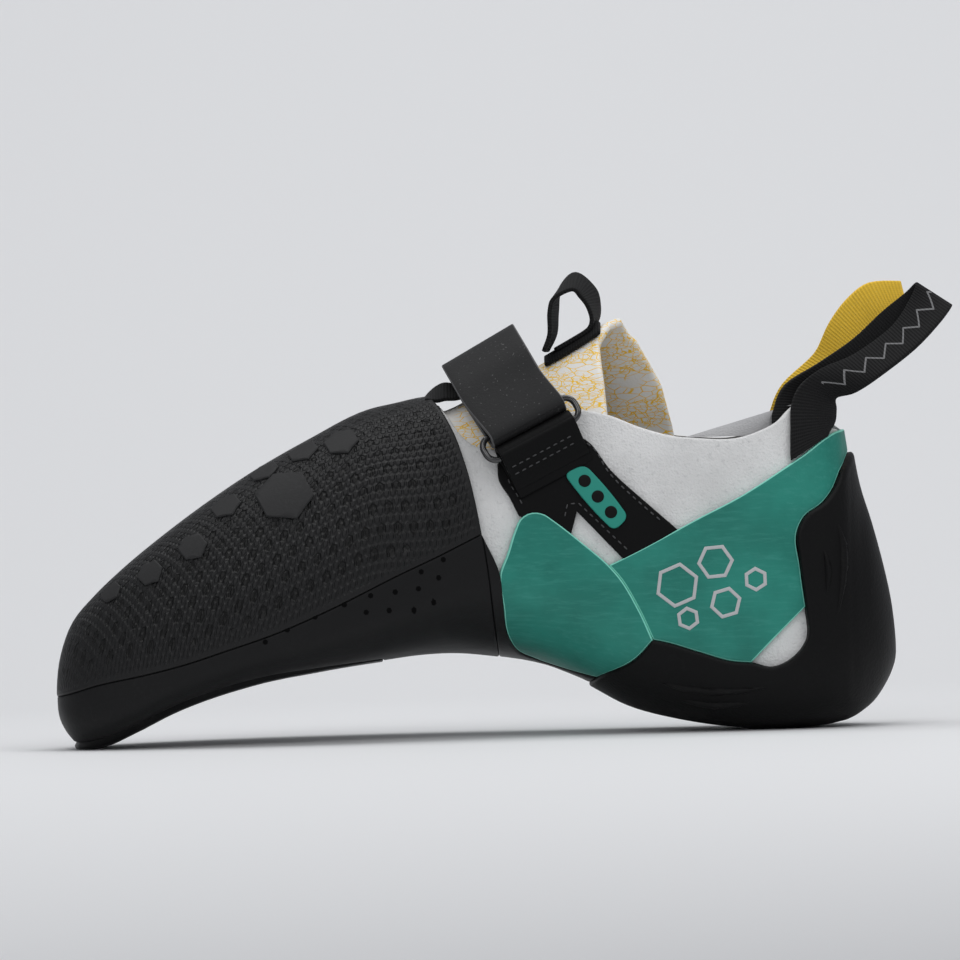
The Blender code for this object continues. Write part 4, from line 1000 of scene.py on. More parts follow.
def webbingMaterial(name, settings):
    finish = {"Sheen_Weight": 0.03, "Specular_IOR_Level": 0.2}
    material, nodeTree, shader, _ = newMaterial(name, settings["color"], 0.75, **finish)
    bandPlace = attribute(nodeTree, "bandPlace")
    weave = useGroup(nodeTree, "weave", Vector=bandPlace, Pitch=settings["pitch"], Thread=settings["thread"])
    # The valleys between the ribs are painted darker, down to the dark share of the colour: painted shade of the
    # weave
    dark = tuple(v * settings["dark"] for v in settings["color"])
    color = mixColor(nodeTree, weave["Height"], dark, settings["color"])
    mask = times(nodeTree, between(nodeTree, weave["Fleck"], 0.55, 0.75), settings["fleck"])
    color = mixColor(nodeTree, mask, color, settings["fleckColor"])
    if "zigzag" in settings:
        zigzag = settings["zigzag"]
        split = splitOf(nodeTree, bandPlace)
        swing = calc(nodeTree, "PINGPONG", split["X"], zigzag["step"])
        slope = 2 * zigzag["swing"] / zigzag["step"]
        swing = calc(nodeTree, "MULTIPLY_ADD", swing, slope, -zigzag["swing"])
        line = calc(nodeTree, "COMPARE", split["Y"], swing, zigzag["line"])
        start, end = zigzag["reach"]
        within = calc(nodeTree, "GREATER_THAN", split["X"], start)
        within = times(nodeTree, within, calc(nodeTree, "LESS_THAN", split["X"], end))
        mask = times(nodeTree, times(nodeTree, line, within), zigzag["shade"])
        color = mixColor(nodeTree, mask, color, zigzag["color"])
    setInput(nodeTree, shader, "Base Color", color)
    bump(nodeTree, shader, weave["Height"], settings["depth"])
    return material


webbing = {
    "color": (0.0075, 0.0075, 0.008),
    # dark: share of the colour left in the painted shade between the ribs
    "dark": 0.35,
    "pitch": 0.00085,
    "thread": 0.0006,
    "fleck": 0.25,
    "fleckColor": (0.030, 0.030, 0.031),
    "depth": 0.00014,
}
blackWebbing = webbingMaterial("black webbing", webbing)
yellow = {**webbing, "color": (1.0, 0.64, 0.06), "dark": 0.78, "fleck": 0.2, "fleckColor": (1.0, 0.80, 0.30)}
yellowWebbing = webbingMaterial("yellow webbing", yellow)
zigzag = {
    "step": 0.0034,
    "swing": 0.0022,
    "line": 0.00042,
    "reach": (0.020, 0.062),
    "shade": 0.7,
    "color": (0.26, 0.26, 0.265),
}
zigzagWebbing = webbingMaterial("zigzag webbing", {**webbing, "zigzag": zigzag})


def panelMaterial(name, settings):
    material, nodeTree, shader, place = newMaterial(
        name, settings["color"], settings["roughness"], Specular_IOR_Level=0.35
    )
    away = splitOf(nodeTree, attribute(nodeTree, "skinPlace"))["Z"]
    turned = {"Vector": place, "Rotation": (0.0, -0.6, 0.0), "Scale": (0.12, 1.0, 1.0)}
    brushed = addNode(nodeTree, "ShaderNodeMapping", turned).outputs[0]
    streak = noiseNode(nodeTree, brushed, 900.0, 4.0, 0.7)["Fac"]
    grain = useGroup(nodeTree, "grain", Vector=place, Scale=1300.0, Pebble=0.3, Cloud_Scale=48.0)
    cloud = between(nodeTree, grain["Cloud"], 0.30, 0.72)
    color = mixColor(nodeTree, cloud, settings["dark"], settings["color"])
    mask = times(nodeTree, between(nodeTree, streak, 0.45, 0.75), 0.35)
    color = mixColor(nodeTree, mask, color, settings["pale"])
    edge = between(nodeTree, times(nodeTree, away, -1.0), -settings["edge"] - 0.0001, -settings["edge"])
    setInput(nodeTree, shader, "Base Color", mixColor(nodeTree, edge, color, settings["edgeColor"]))
    height = calc(nodeTree, "MULTIPLY_ADD", streak, 0.5, grain["Height"])
    bump(nodeTree, shader, height, 0.00005)
    return material


panel = {
    "color": (0.018, 0.245, 0.190),
    "dark": (0.010, 0.175, 0.135),
    "pale": (0.060, 0.330, 0.270),
    "edgeColor": (0.22, 0.68, 0.55),
    "edge": 0.00035,
    "roughness": 0.46,
}
tealPanel = panelMaterial("teal panel", panel)


def leatherMaterial(name, settings):
    material, nodeTree, shader, place = newMaterial(
        name, settings["color"], settings["roughness"], Specular_IOR_Level=settings["shine"]
    )
    grain = useGroup(nodeTree, "grain", Vector=place, Scale=settings["scale"], Pebble=settings["pebble"])
    fleck = noiseNode(nodeTree, place, settings["fleckScale"])["Fac"]
    mask = times(nodeTree, between(nodeTree, fleck, 0.66, 0.74), settings["fleck"])
    color = mixColor(nodeTree, grain["Cloud"], settings["dark"], settings["color"])
    color = mixColor(nodeTree, mask, color, settings["fleckColor"])
    if "cut" in settings:
        level = splitOf(nodeTree, attribute(nodeTree, "bandPlace"))["Z"]
        cut = between(nodeTree, calc(nodeTree, "ABSOLUTE", level), 0.75, 0.55)
        color = mixColor(nodeTree, cut, color, settings["cut"])
    setInput(nodeTree, shader, "Base Color", color)
    bump(nodeTree, shader, grain["Height"], settings["depth"])
    return material


leather = {
    "shine": 0.12,
    "color": (0.0035, 0.0035, 0.0037),
    "dark": (0.0030, 0.0030, 0.0032),
    "roughness": 0.62,
    "scale": 1000.0,
    "pebble": 0.6,
    "depth": 0.00009,
    "fleckScale": 1500.0,
    "fleck": 0.0,
    "fleckColor": (0.2, 0.2, 0.2),
}
blackLeather = leatherMaterial("black leather", leather)
synthetic = {
    **leather,
    "shine": 0.25,
    "color": (0.018, 0.018, 0.0185),
    "dark": (0.014, 0.014, 0.0145),
    "roughness": 0.66,
    "cut": (0.10, 0.10, 0.102),
    "pebble": 0.3,
    "scale": 1500.0,
    "fleck": 0.35,
    "fleckScale": 1300.0,
}
strapSynthetic = leatherMaterial("strap synthetic", synthetic)
wireMetal = newMaterial("coated wire", (0.012, 0.012, 0.013), 0.18, Coat_Weight=0.8, Coat_Roughness=0.06)[0]
badgeTeal = newMaterial("badge", (0.020, 0.27, 0.21), 0.5, Specular_IOR_Level=0.3)[0]
badgeBlack = newMaterial("badge mark", (0.004, 0.004, 0.004), 0.6, Specular_IOR_Level=0.15)[0]
printGrey = newMaterial("print", (0.50, 0.51, 0.52), 0.6)[0]
threadGrey = newMaterial("black thread", (0.050, 0.050, 0.052), 0.6)[0]
paleCloth = {"color": (0.60, 0.60, 0.61), "dark": (0.50, 0.50, 0.51), "roughness": 0.9, "scale": 1400.0}
liningCloth = leatherMaterial("lining", {**leather, **paleCloth})
print("materials made")

# Lines of the side view, as shares of the last's length and of the local height
collarLine = (
    (0.425, 1.30), (0.458, 0.950), (0.463, 0.900), (0.475, 0.866), (0.488, 0.821), (0.507, 0.786),
    (0.530, 0.776), (0.560, 0.790), (0.590, 0.835), (0.615, 0.875), (0.636, 0.893), (0.664, 0.893),
    (0.712, 0.872), (0.746, 0.865), (0.779, 0.869), (0.828, 0.881), (0.852, 0.900), (0.875, 0.928),
    (0.892, 0.966), (0.906, 0.988), (0.918, 0.988), (0.930, 0.955), (0.944, 0.900), (0.960, 0.892),
)
patchRear = (
    (0.438, 1.04), (0.438, 0.915), (0.454, 0.893), (0.468, 0.862), (0.480, 0.818), (0.493, 0.736),
    (0.503, 0.640), (0.510, 0.547),
)
randRear = ((0.510, 0.547), (0.515, 0.466), (0.520, 0.372), (0.528, 0.263), (0.534, 0.150), (0.534, 0.040))
seamLine = (
    (-0.030, 0.134), (0.007, 0.147), (0.044, 0.172), (0.100, 0.198), (0.149, 0.224), (0.198, 0.257),
    (0.260, 0.301), (0.322, 0.357), (0.408, 0.446), (0.458, 0.494), (0.510, 0.547),
)
frontPanelTop = (
    (0.531, 0.438), (0.541, 0.492), (0.551, 0.553), (0.558, 0.584), (0.567, 0.598), (0.578, 0.602),
    (0.588, 0.597), (0.598, 0.583), (0.635, 0.524), (0.665, 0.471),
)
panelSplit = ((0.665, 0.471), (0.677, 0.442), (0.700, 0.355), (0.717, 0.270))
frontPanelBottom = (
    (0.717, 0.270), (0.698, 0.224), (0.651, 0.171), (0.613, 0.193), (0.576, 0.221), (0.552, 0.249),
    (0.540, 0.294), (0.535, 0.357), (0.531, 0.438),
)
rearPanelTop = (
    (0.665, 0.471), (0.702, 0.520), (0.776, 0.631), (0.826, 0.701), (0.900, 0.815), (0.948, 0.891),
    (0.990, 0.891),
)
rearPanelBack = (
    (0.990, 0.838), (0.958, 0.838), (0.946, 0.779), (0.936, 0.719), (0.923, 0.675), (0.902, 0.637),
    (0.894, 0.601),
)
rearPanelBottom = (
    (0.894, 0.601), (0.896, 0.480), (0.901, 0.368), (0.835, 0.207), (0.814, 0.211), (0.772, 0.238),
    (0.732, 0.264), (0.717, 0.270),
)
heelCupFront = (
    (0.894, 0.601), (0.895, 0.510), (0.899, 0.419), (0.901, 0.359), (0.901, 0.268), (0.891, 0.233),
    (0.875, 0.204), (0.861, 0.193), (0.835, 0.207),
)
anchorOutline = (
    (0.533, 0.733), (0.622, 0.822), (0.641, 0.810), (0.671, 0.736), (0.716, 0.654), (0.750, 0.592),
    (0.706, 0.512), (0.686, 0.485), (0.628, 0.612), (0.620, 0.548), (0.598, 0.568), (0.588, 0.581),
    (0.578, 0.588), (0.569, 0.584), (0.557, 0.594), (0.546, 0.645), (0.534, 0.690),
)
strapBaseOutline = (
    (0.536, 0.690), (0.640, 0.790), (0.700, 0.560), (0.695, 0.525), (0.665, 0.480), (0.635, 0.533),
    (0.598, 0.591), (0.588, 0.605), (0.578, 0.610), (0.567, 0.606), (0.557, 0.604), (0.546, 0.645),
)
heelStep = ((0.651, 0.171), (0.634, 0.141), (0.634, -0.10))
roof = 2 * last["instepHeight"]
below = -0.05
farHeel = float(xOf(1.2))
farToe = -0.23

upper = {"wall": 0.0018, "dent": 0.0007, "dentScale": 34.0}


def upperShape(points, _, height, away):
    # Soft dents near the collar, which only ever go inwards
    dent = np.array([noise.noise(Vector(p * upper["dentScale"])) for p in points])
    dent = np.clip(dent, 0, 1) * upper["dent"] * ease(0.002, 0.008, away)
    return height - dent


collar = sideLine(collarLine)
upperOutline = collar + [(farHeel, collar[-1][1]), (farHeel, below)]
upperOutline += [(farToe, below), (farToe, roof), (collar[0][0], roof)]
upperSkin = drape("upper_leather", upperOutline, upper["wall"], rim=0.0007, base=-upper["wall"], shape=upperShape)
cover = np.array([v.co[:] for v in upperSkin.data.vertices])
inner = bmesh.new()
inner.from_mesh(upperSkin.data)
heights = inner.verts.layers.float["rise"]
inner.verts.ensure_lookup_table()
inner.normal_update()
for vertex, (place, normal) in zip(inner.verts, [tree.find_nearest(Vector(p))[:2] for p in cover]):
    outward = vertex.normal if vertex[heights] > upper["wall"] * 0.5 else Vector(normal)
    if outward.dot(Vector(place) - Vector(skin.middle[int(np.argmin(abs(skin.x - place[0])))])) < 0:
        outward = -outward
    vertex.co = Vector(place) - outward * upper["wall"]
for face in inner.faces:
    face.normal_flip()
lining = bpy.data.meshes.new("upper_lining")
inner.to_mesh(lining)
inner.free()
liningSkin = bpy.data.objects.new("upper_lining", lining)
bpy.context.scene.collection.objects.link(liningSkin)
lining.polygons.foreach_set("use_smooth", [True] * len(lining.polygons))
dress(upperSkin, upperSuede, "upper_leather", "upper")
dress(liningSkin, liningCloth, "lining_fabric")
print("upper made")

# Rubber of the forefoot
sole = {
    "rubber": 0.0038,
    "rand": 0.0022,
    "proud": 0.0004,
    "edge": 0.0006,
    "places": (0.02, 0.05, 0.09, 0.14, 0.19, 0.25, 0.31, 0.36),
    "endAt": 0.385,
    "endSlope": (0.003, -0.02),
}


def solePartLine():
    made = [(float(xOf(-0.05)), last["seat"] + sole["edge"])]
    for at in (*sole["places"], sole["endAt"]):
        made.append((float(xOf(at)), float(bottomAt(at)) + sole["edge"]))
    return made


def onFloor(points, normals, height):
    # Flat where it stands on the floor
    lowest = points[:, 2] / np.maximum(-normals[:, 2], 0.2) - last["gap"]
    return np.where(normals[:, 2] < -0.2, np.minimum(height, lowest), height)


def soleShape(points, normals, height, _):
    # Thicker where it looks down, and flat where it stands on the floor
    down = ease(0.35, 0.80, -normals[:, 2])
    end = sole["rand"] + sole["proud"]
    depth = sole["rubber"] + (end - sole["rubber"]) * ease(0.20, sole["endAt"], atOf(points[:, 0]))
    full = height * (1 + (depth / end - 1) * down)
    return onFloor(points, normals, full)


partLine = solePartLine()
soleEnd = partLine[-1]
seam = sideLine(seamLine)
patchRearLine = sideLine(patchRear)
randRearLine = sideLine(randRear)
soleCorner = (soleEnd[0] + sole["endSlope"][0], soleEnd[1] + sole["endSlope"][1])
soleLine = partLine + [soleCorner, (soleEnd[0], below), (partLine[0][0], below)]
soleWall = sole["rand"] + sole["proud"]
soleSkin = drape("front_sole", soleLine, soleWall, rim=0.0005, pole="toe", shape=soleShape)
dress(soleSkin, soleRubber, "sole_rubber", "outsole")
corner = (float(xOf(randRear[-1][0])), 0.0)
randOutline = seam + randRearLine[1:] + [corner, soleCorner] + partLine[::-1]
randSkin = drape("toe_rand_rubber", randOutline, sole["rand"], rim=0.0005, pole="toe")
dress(randSkin, rubberPlain, "rand_rubber", "toe_rand")
patchOutline = seam + patchRearLine[::-1][1:] + [(patchRearLine[0][0], roof), (seam[0][0], roof)]


lip = {"rise": 0.0004, "from": -0.105, "full": -0.095, "outer": 0.0105, "inner": 0.009}


def patchShape(points, normals, height, away):
    # A raised lip a little in from the rear edge on top
    top = ease(0.3, 0.8, normals[:, 2]) * ease(lip["from"], lip["full"], points[:, 0])
    return height + lip["rise"] * top * ease(lip["outer"], lip["inner"], away)


patchSkin = drape("toe_patch_rubber", patchOutline, last["toeRubber"], rim=0.0006, pole="toe", shape=patchShape)
dress(patchSkin, patchRubber, "patch_rubber", "toe_patch")
print("forefoot rubber made")

# Raised hexagons: place in the side view, radius, and 1 for the outer side
studs = {
    "base": last["gap"] + last["toeRubber"],
    "rise": 0.0006,
    "turn": 36,
    "places": (
        (0.273, 0.674, 0.0084, 0), (0.201, 0.647, 0.0046, 0), (0.160, 0.541, 0.0043, 0),
        (0.107, 0.474, 0.0040, 0), (0.058, 0.425, 0.0035, 0), (0.248, 0.736, 0.0046, 0),
        (0.296, 0.787, 0.0047, 0), (0.343, 0.810, 0.0050, 0), (0.300, 0.720, 0.0050, 1),
        (0.240, 0.640, 0.0042, 1), (0.180, 0.540, 0.0038, 1),
    ),
}


plate = {"above": 0.02, "sunk": -0.0004, "shoulder": 0.55, "slope": 0.6, "steps": 5}


def hexPlate(points, faces, place, normal, radius, turn, base, rise, hole=0.0, rings=6):
    # A six-sided plate laid on the last, or a frame of one where it has a hole
    along = Vector((0, 1, 0)).cross(normal).normalized()
    across = normal.cross(along)
    slope = rise * plate["slope"] / radius
    shoulder = rise * plate["shoulder"]
    shares = [(1.0, plate["sunk"]), (1.0, shoulder), (1 - slope, rise)]
    inward = hole / radius
    stop = inward + (slope if hole else 0.0)
    steps = 2 if hole else rings
    first = 1 - slope
    shares += [(first + (stop - first) * k / steps, rise) for k in range(1, steps + 1)]
    if hole:
        shares += [(inward, shoulder), (inward, plate["sunk"])]
    start = len(points)
    for share, height in shares:
        for k in range(6):
            a = math.radians(60 * k + turn)
            b = math.radians(60 * (k + 1) + turn)
            for step in range(plate["steps"]):
                t = step / plate["steps"]
                x = (math.cos(a) * (1 - t) + math.cos(b) * t) * radius * share
                y = (math.sin(a) * (1 - t) + math.sin(b) * t) * radius * share
                above = place + along * x + across * y + normal * plate["above"]
                hit, hitNormal, _, _ = tree.ray_cast(above, -normal)
                if hit is None:
                    hit, hitNormal, _, _ = tree.find_nearest(above - normal * plate["above"])
                if hitNormal.dot(normal) < 0:
                    hitNormal = -hitNormal
                points.append(tuple(hit + hitNormal * (base + height)))
    count = 6 * plate["steps"]
    for ring in range(len(shares) - 1):
        for k in range(count):
            a, b = start + ring * count + k, start + ring * count + (k + 1) % count
            faces.append((a, b, b + count, a + count))


points, faces = [], []
for at, rise, radius, outer in studs["places"]:
    x, z = sideLine([(at, rise)])[0]
    place, normal = underCover(x, z, bool(outer), studs["base"] + studs["rise"])
    hexPlate(points, faces, place, normal, radius, studs["turn"], studs["base"], studs["rise"])
studPlates = newMesh("patch_studs", points, faces)
cleanUp(studPlates)
studPlates.modifiers.new("sharp sides", "EDGE_SPLIT").split_angle = math.radians(35)
dress(studPlates, studRubber, "patch_rubber")

# Small pits in the rand under the seam, drawn as thin near-black plates on it: painted shade where the hollows
# are
pits = {
    "base": last["gap"] + sole["rand"],
    "radius": 0.0008,
    "places": (
        (0.246, 0.280), (0.273, 0.311), (0.307, 0.344), (0.343, 0.373), (0.375, 0.395), (0.405, 0.402),
        (0.437, 0.454), (0.464, 0.485), (0.433, 0.409), (0.458, 0.436), (0.369, 0.351), (0.397, 0.353),
        (0.427, 0.351), (0.451, 0.372),
    ),
}
points, faces = [], []
for outer in (False, True):
    for at, rise in pits["places"]:
        x, z = sideLine([(at, rise)])[0]
        place, normal = underCover(x, z, outer, pits["base"])
        hexPlate(points, faces, place, normal, pits["radius"], studs["turn"], pits["base"], 0.00005, rings=2)
randPits = newMesh("rand_pits", points, faces)
dress(randPits, pitShadeRubber, "rand_rubber")

# Rubber of the arch and the heel
cornerUp = sideLine(frontPanelBottom)
step = sideLine(heelStep)
archOutline = [corner] + randRearLine[::-1] + cornerUp[2:][::-1] + step[1:]
archOutline += [(step[-1][0], below), (corner[0], below)]
arch = {"rubber": 0.0021}
archSkin = drape("arch_rubber", archOutline, arch["rubber"], rim=0.0005)
dress(archSkin, archRubber, "rand_rubber", "arch_rand")

heel = {"rubber": 0.0030}


def heelShape(points, normals, height, _):
    return onFloor(points, normals, height)


back = sideLine(rearPanelBack)
heelOutline = back + sideLine(heelCupFront)[1:] + sideLine(rearPanelBottom)[4:] + cornerUp[1:3] + step[1:]
heelOutline += [(step[-1][0], below), (farHeel, below), (farHeel, back[0][1])]
heelSkin = drape("heel_cup_rubber", heelOutline, heel["rubber"], rim=0.0009, pole="heel", shape=heelShape)
dress(heelSkin, heelRubber, "heel_rubber", "heel_cup")
# Slim tapered ridges moulded in the heel's rubber, as lines of the side view and their half widths
ridges = {
    "base": last["gap"] + heel["rubber"] - 0.0004,
    "rise": 0.0014,
    "steps": 28,
    "lines": (
        (((0.944, 0.620), (0.950, 0.540), (0.948, 0.440), (0.940, 0.330)), 0.0011),
        (((0.926, 0.540), (0.930, 0.480), (0.928, 0.400)), 0.0009),
        (((0.720, 0.150), (0.760, 0.128), (0.810, 0.122), (0.860, 0.135)), 0.0011),
        (((0.745, 0.098), (0.790, 0.082), (0.835, 0.086)), 0.0009),
    ),
}
points, faces = [], []
for outer in (False, True):
    for shares, half in ridges["lines"]:
        path = smoothPath([(*p, 0) for p in sideLine(shares)], ridges["steps"])
        curve = np.array([tuple(p)[:2] for p in path])
        way = unit(np.gradient(curve, axis=0))
        turned = np.stack([-way[:, 1], way[:, 0]], axis=1)
        first, count = len(points), len(curve)
        for k, (x, z) in enumerate(curve):
            swell = math.sin(math.pi * (k + 0.5) / count) ** 0.6
            for share in np.linspace(-1, 1, 9):
                spot = (x + turned[k, 0] * half * swell * share, z + turned[k, 1] * half * swell * share)
                place, normal = underCover(*spot, outer, ridges["base"])
                lift = ridges["rise"] * swell * (1 - share**2)
                points.append(tuple(place + normal * (ridges["base"] + lift)))
        for k in range(count - 1):
            for j in range(8):
                a = first + k * 9 + j
                faces.append((a, a + 1, a + 10, a + 9) if outer else (a + 9, a + 10, a + 1, a))
heelRidges = newMesh("heel_ridges", points, faces)
dress(heelRidges, heelRubber, "heel_rubber")
print("arch and heel made")

# Side panels: the front one overlaps the rear one
frontOutline = sideLine(frontPanelTop) + sideLine(panelSplit)[1:] + sideLine(frontPanelBottom)[1:-1]
rearOutline = sideLine(rearPanelTop) + back + sideLine(rearPanelBottom)[1:] + sideLine(panelSplit)[::-1][1:-1]
panels = {"front": (frontOutline, 0.0018), "rear": (rearOutline, 0.0014)}
for side in ("inner", "outer"):
    for key, (outline, wall) in panels.items():
        skinOf = drape(f"panel_{key}_{side}_skin", outline, wall, side, rim=0.0004)
        dress(skinOf, tealPanel, "side_panel", f"panel_{key}_{side}")
print("panels made")

# Strap, ring and the leather that holds the ring
strap = {
    "width": 0.0235,
    "wall": 0.0016,
    "lift": 0.0045,
    "lean": math.radians(29),
    "endClear": 0.0018,
    "tabEnd": 114,
    "tabGap": 0.0008,
    "ringAt": (0.574, 0.812),
    "ringLength": 0.0312,
    "ringHalf": 0.0036,
    "ringBend": 0.0030,
    "offLeather": 0.0016,
    "wire": 0.0020,
    "clear": 0.0006,
    "foldSpare": 0.0005,
    "leather": 0.0013,
}


def strapSide(normal, share=1.0):
    lean = Vector((math.cos(strap["lean"]), 0, math.sin(strap["lean"])))
    return (lean - normal * normal.dot(lean) * share).normalized()


ringX, ringZ = sideLine([strap["ringAt"]])[0]
ringFoot, ringOut = onSide(ringX, ringZ)
ringLong = strapSide(ringOut)
ringUp = ringOut.cross(ringLong).normalized()
if ringUp.z < 0:
    ringUp = -ringUp
offLast = strap["offLeather"] + last["gap"] + strap["wall"] + strap["clear"] + strap["wire"] / 2
ringCentre = ringFoot + ringOut * offLast
wirePath = []
halfLong, bend = strap["ringLength"] / 2 - strap["wire"] / 2, strap["ringBend"]
for a, b, start in ((1, 1, 0), (-1, 1, 90), (-1, -1, 180), (1, -1, 270)):
    for k in range(8):
        turn = math.radians(start + 90 * k / 7)
        wirePath.append(
            ringCentre
            + ringLong * (a * (halfLong - bend) + bend * math.cos(turn))
            + ringUp * (b * (strap["ringHalf"] - bend) + bend * math.sin(turn))
        )
ring = tube("strap_ring_wire", wirePath, strap["wire"] / 2 * 0.92, 18)
dress(ring, wireMetal, "ring_metal", "strap_ring")


def arc(centre, first, second, radius, start, end, count):
    made = []
    for k in range(count + 1):
        turn = math.radians(start + (end - start) * k / count)
        made.append(centre + (first * math.cos(turn) + second * math.sin(turn)) * radius)
    return made


rise = Vector((-math.sin(strap["lean"]), 0, math.cos(strap["lean"])))


def strapOver(degrees, clear):
    turn = math.radians(degrees)
    way = Vector((0, -math.cos(turn), 0)) + rise * math.sin(turn)
    place, normal, _, _ = tree.ray_cast(Vector((ringX, 0, ringZ)), way)
    return place + way * clear, strapSide(normal, math.cos(turn) ** 2)


bar = ringCentre + ringUp * strap["ringHalf"]
turnRadius = strap["wire"] / 2 + strap["clear"] + strap["foldSpare"] + strap["wall"] / 2
low = last["gap"] + strap["wall"] / 2 + strap["offLeather"]
under, tab = [], []
for degrees in (38, 58, 78, 98):
    lift = low + strap["lift"] * math.sin(math.radians(min(90, degrees * 0.9))) ** 1.3
    under.append(strapOver(degrees, lift))
    tab.append(strapOver(degrees - 2, lift + strap["wall"] + strap["tabGap"]))
tab.append(strapOver(strap["tabEnd"], low + strap["lift"] + strap["wall"] + strap["tabGap"]))
for degrees, share in ((118, 0.85), (138, 0.5), (158, 0.2)):
    under.append(strapOver(degrees, low + strap["lift"] * share))
endLift = last["gap"] + strap["leather"] + strap["endClear"] + strap["wall"] / 2
under += [strapOver(degrees, endLift) for degrees in (176, 194, 204)]
fold = [(point, ringLong) for point in arc(bar, -ringUp, ringOut, turnRadius, 90, -90, 4)]
strapRows = bandRows(tab[::-1] + fold + under, strap["width"] - strap["wall"] * 0.5, 6, 10)
strapBand = slab("strap_webbing", strapRows, strap["wall"], rim=strap["wall"] * 0.25)
dress(strapBand, strapSynthetic, "strap_synthetic", "strap")

anchorLine = sideLine(anchorOutline)
anchorSkin = drape("ring_anchor_leather", anchorLine, strap["leather"], "inner", rim=0.0004)
dress(anchorSkin, blackLeather, "anchor_leather", "ring_anchor")
bar = ringCentre - ringUp * strap["ringHalf"]
turnRadius = strap["wire"] / 2 + strap["clear"] + strap["foldSpare"] + strap["leather"] / 2
foot = ringCentre - ringOut * (ringCentre - ringFoot).length
low = last["gap"] + strap["leather"] / 2
# The fold's two legs: how far below the ring, and the height over the leather
legs = {
    "under": ((0.0130, 0.0006), (0.0090, 0.0008)),
    "over": ((0.0108, strap["leather"] + 0.0002), (0.0128, 0.0004), (0.0150, -0.0004)),
}
underLeg, overLeg = (
    [foot - ringUp * down + ringOut * (low + height) for down, height in legs[key]] for key in ("under", "over")
)
path = underLeg + arc(bar, ringUp, ringOut, turnRadius, -90, 115, 7) + overLeg
foldRows = bandRows([(point, ringLong) for point in path], strap["width"] - 0.0006, 5, 10)
foldBand = slab("ring_anchor_fold", foldRows, strap["leather"], rim=0.0003)
dress(foldBand, blackLeather, "anchor_leather")
baseSkin = drape("strap_base_leather", sideLine(strapBaseOutline), strap["leather"], "outer", rim=0.0004)
dress(baseSkin, blackLeather, "anchor_leather", "strap_base")

badge = {
    "outline": ((0.612, 0.708), (0.640, 0.742), (0.692, 0.612), (0.672, 0.565)),
    "corner": 0.0026,
    "wall": 0.0009,
    "dots": (-0.28, 0.0, 0.28),
    "around": 24,
    # Radius and height of each ring of a dot
    "rings": ((0.00175, 0.0007), (0.00175, 0.00095), (0.0016, 0.00105), (0.0008, 0.00105), (0.0, 0.00105)),
}
badgeLine = sideLine(badge["outline"])


def roundedLine(line, radius, steps=6):
    made = []
    for k, p in enumerate(line):
        p, before, after = np.array(p), np.array(line[k - 1]), np.array(line[(k + 1) % len(line)])
        first, second = p + unit(before - p) * radius, p + unit(after - p) * radius
        for s in range(steps + 1):
            t = s / steps
            made.append(first * (1 - t) ** 2 + 2 * p * t * (1 - t) + second * t * t)
    return made


badgeBase = last["gap"] + strap["leather"] - 0.0001
badgeOutline = roundedLine(badgeLine, badge["corner"])
badgeSkin = drape("badge_plate", badgeOutline, badge["wall"], "inner", rim=0.0003, base=badgeBase)
dress(badgeSkin, badgeTeal, "badge_plastic", "badge")
points, faces = [], []
around = badge["around"]
badgeMiddle = np.array(badgeLine).mean(0)
lengthWay = (np.array(badgeLine[2]) + badgeLine[3] - np.array(badgeLine[0]) - badgeLine[1]) / 2
for share in badge["dots"]:
    x, z = badgeMiddle + lengthWay * share
    centre, normal = onSide(x, z)
    along = Vector((0, 1, 0)).cross(normal).normalized()
    sideways = normal.cross(along)
    first = len(points)
    for radius, height in badge["rings"]:
        for k in range(around):
            turn = 2 * math.pi / around * k
            flat = centre + (along * math.cos(turn) + sideways * math.sin(turn)) * radius + normal * 0.01
            hit = tree.ray_cast(flat, -normal)[0]
            points.append(tuple(hit + normal * (badgeBase + height)))
    for level in range(len(badge["rings"]) - 1):
        for k in range(around):
            a, b = first + level * around + k, first + level * around + (k + 1) % around
            faces.append((a, b, b + around, a + around))
badgeDots = newMesh("badge_dots", points, faces)
cleanUp(badgeDots)
dress(badgeDots, badgeBlack, "badge_plastic")
print("strap, ring and badge made")

# A cluster of hexagon outlines on the rear panels
mark = {
    "base": last["gap"] + panels["rear"][1],
    "rise": 0.00012,
    "line": 0.0011,
    "turn": 12,
    "cells": (
        (0.748, 0.430, 0.0064), (0.795, 0.505, 0.0052), (0.806, 0.385, 0.0046), (0.843, 0.455, 0.0035),
        (0.760, 0.335, 0.0034),
    ),
}
for side in ("inner", "outer"):
    points, faces = [], []
    for at, riseShare, radius in mark["cells"]:
        x, z = sideLine([(at, riseShare)])[0]
        place, normal = onSide(x, z, side == "outer")
        hole = radius - mark["line"]
        hexPlate(points, faces, place, normal, radius, mark["turn"], mark["base"], mark["rise"], hole)
    printed = newMesh(f"panel_mark_{side}", points, faces)
    cleanUp(printed)
    dress(printed, printGrey, "side_panel")

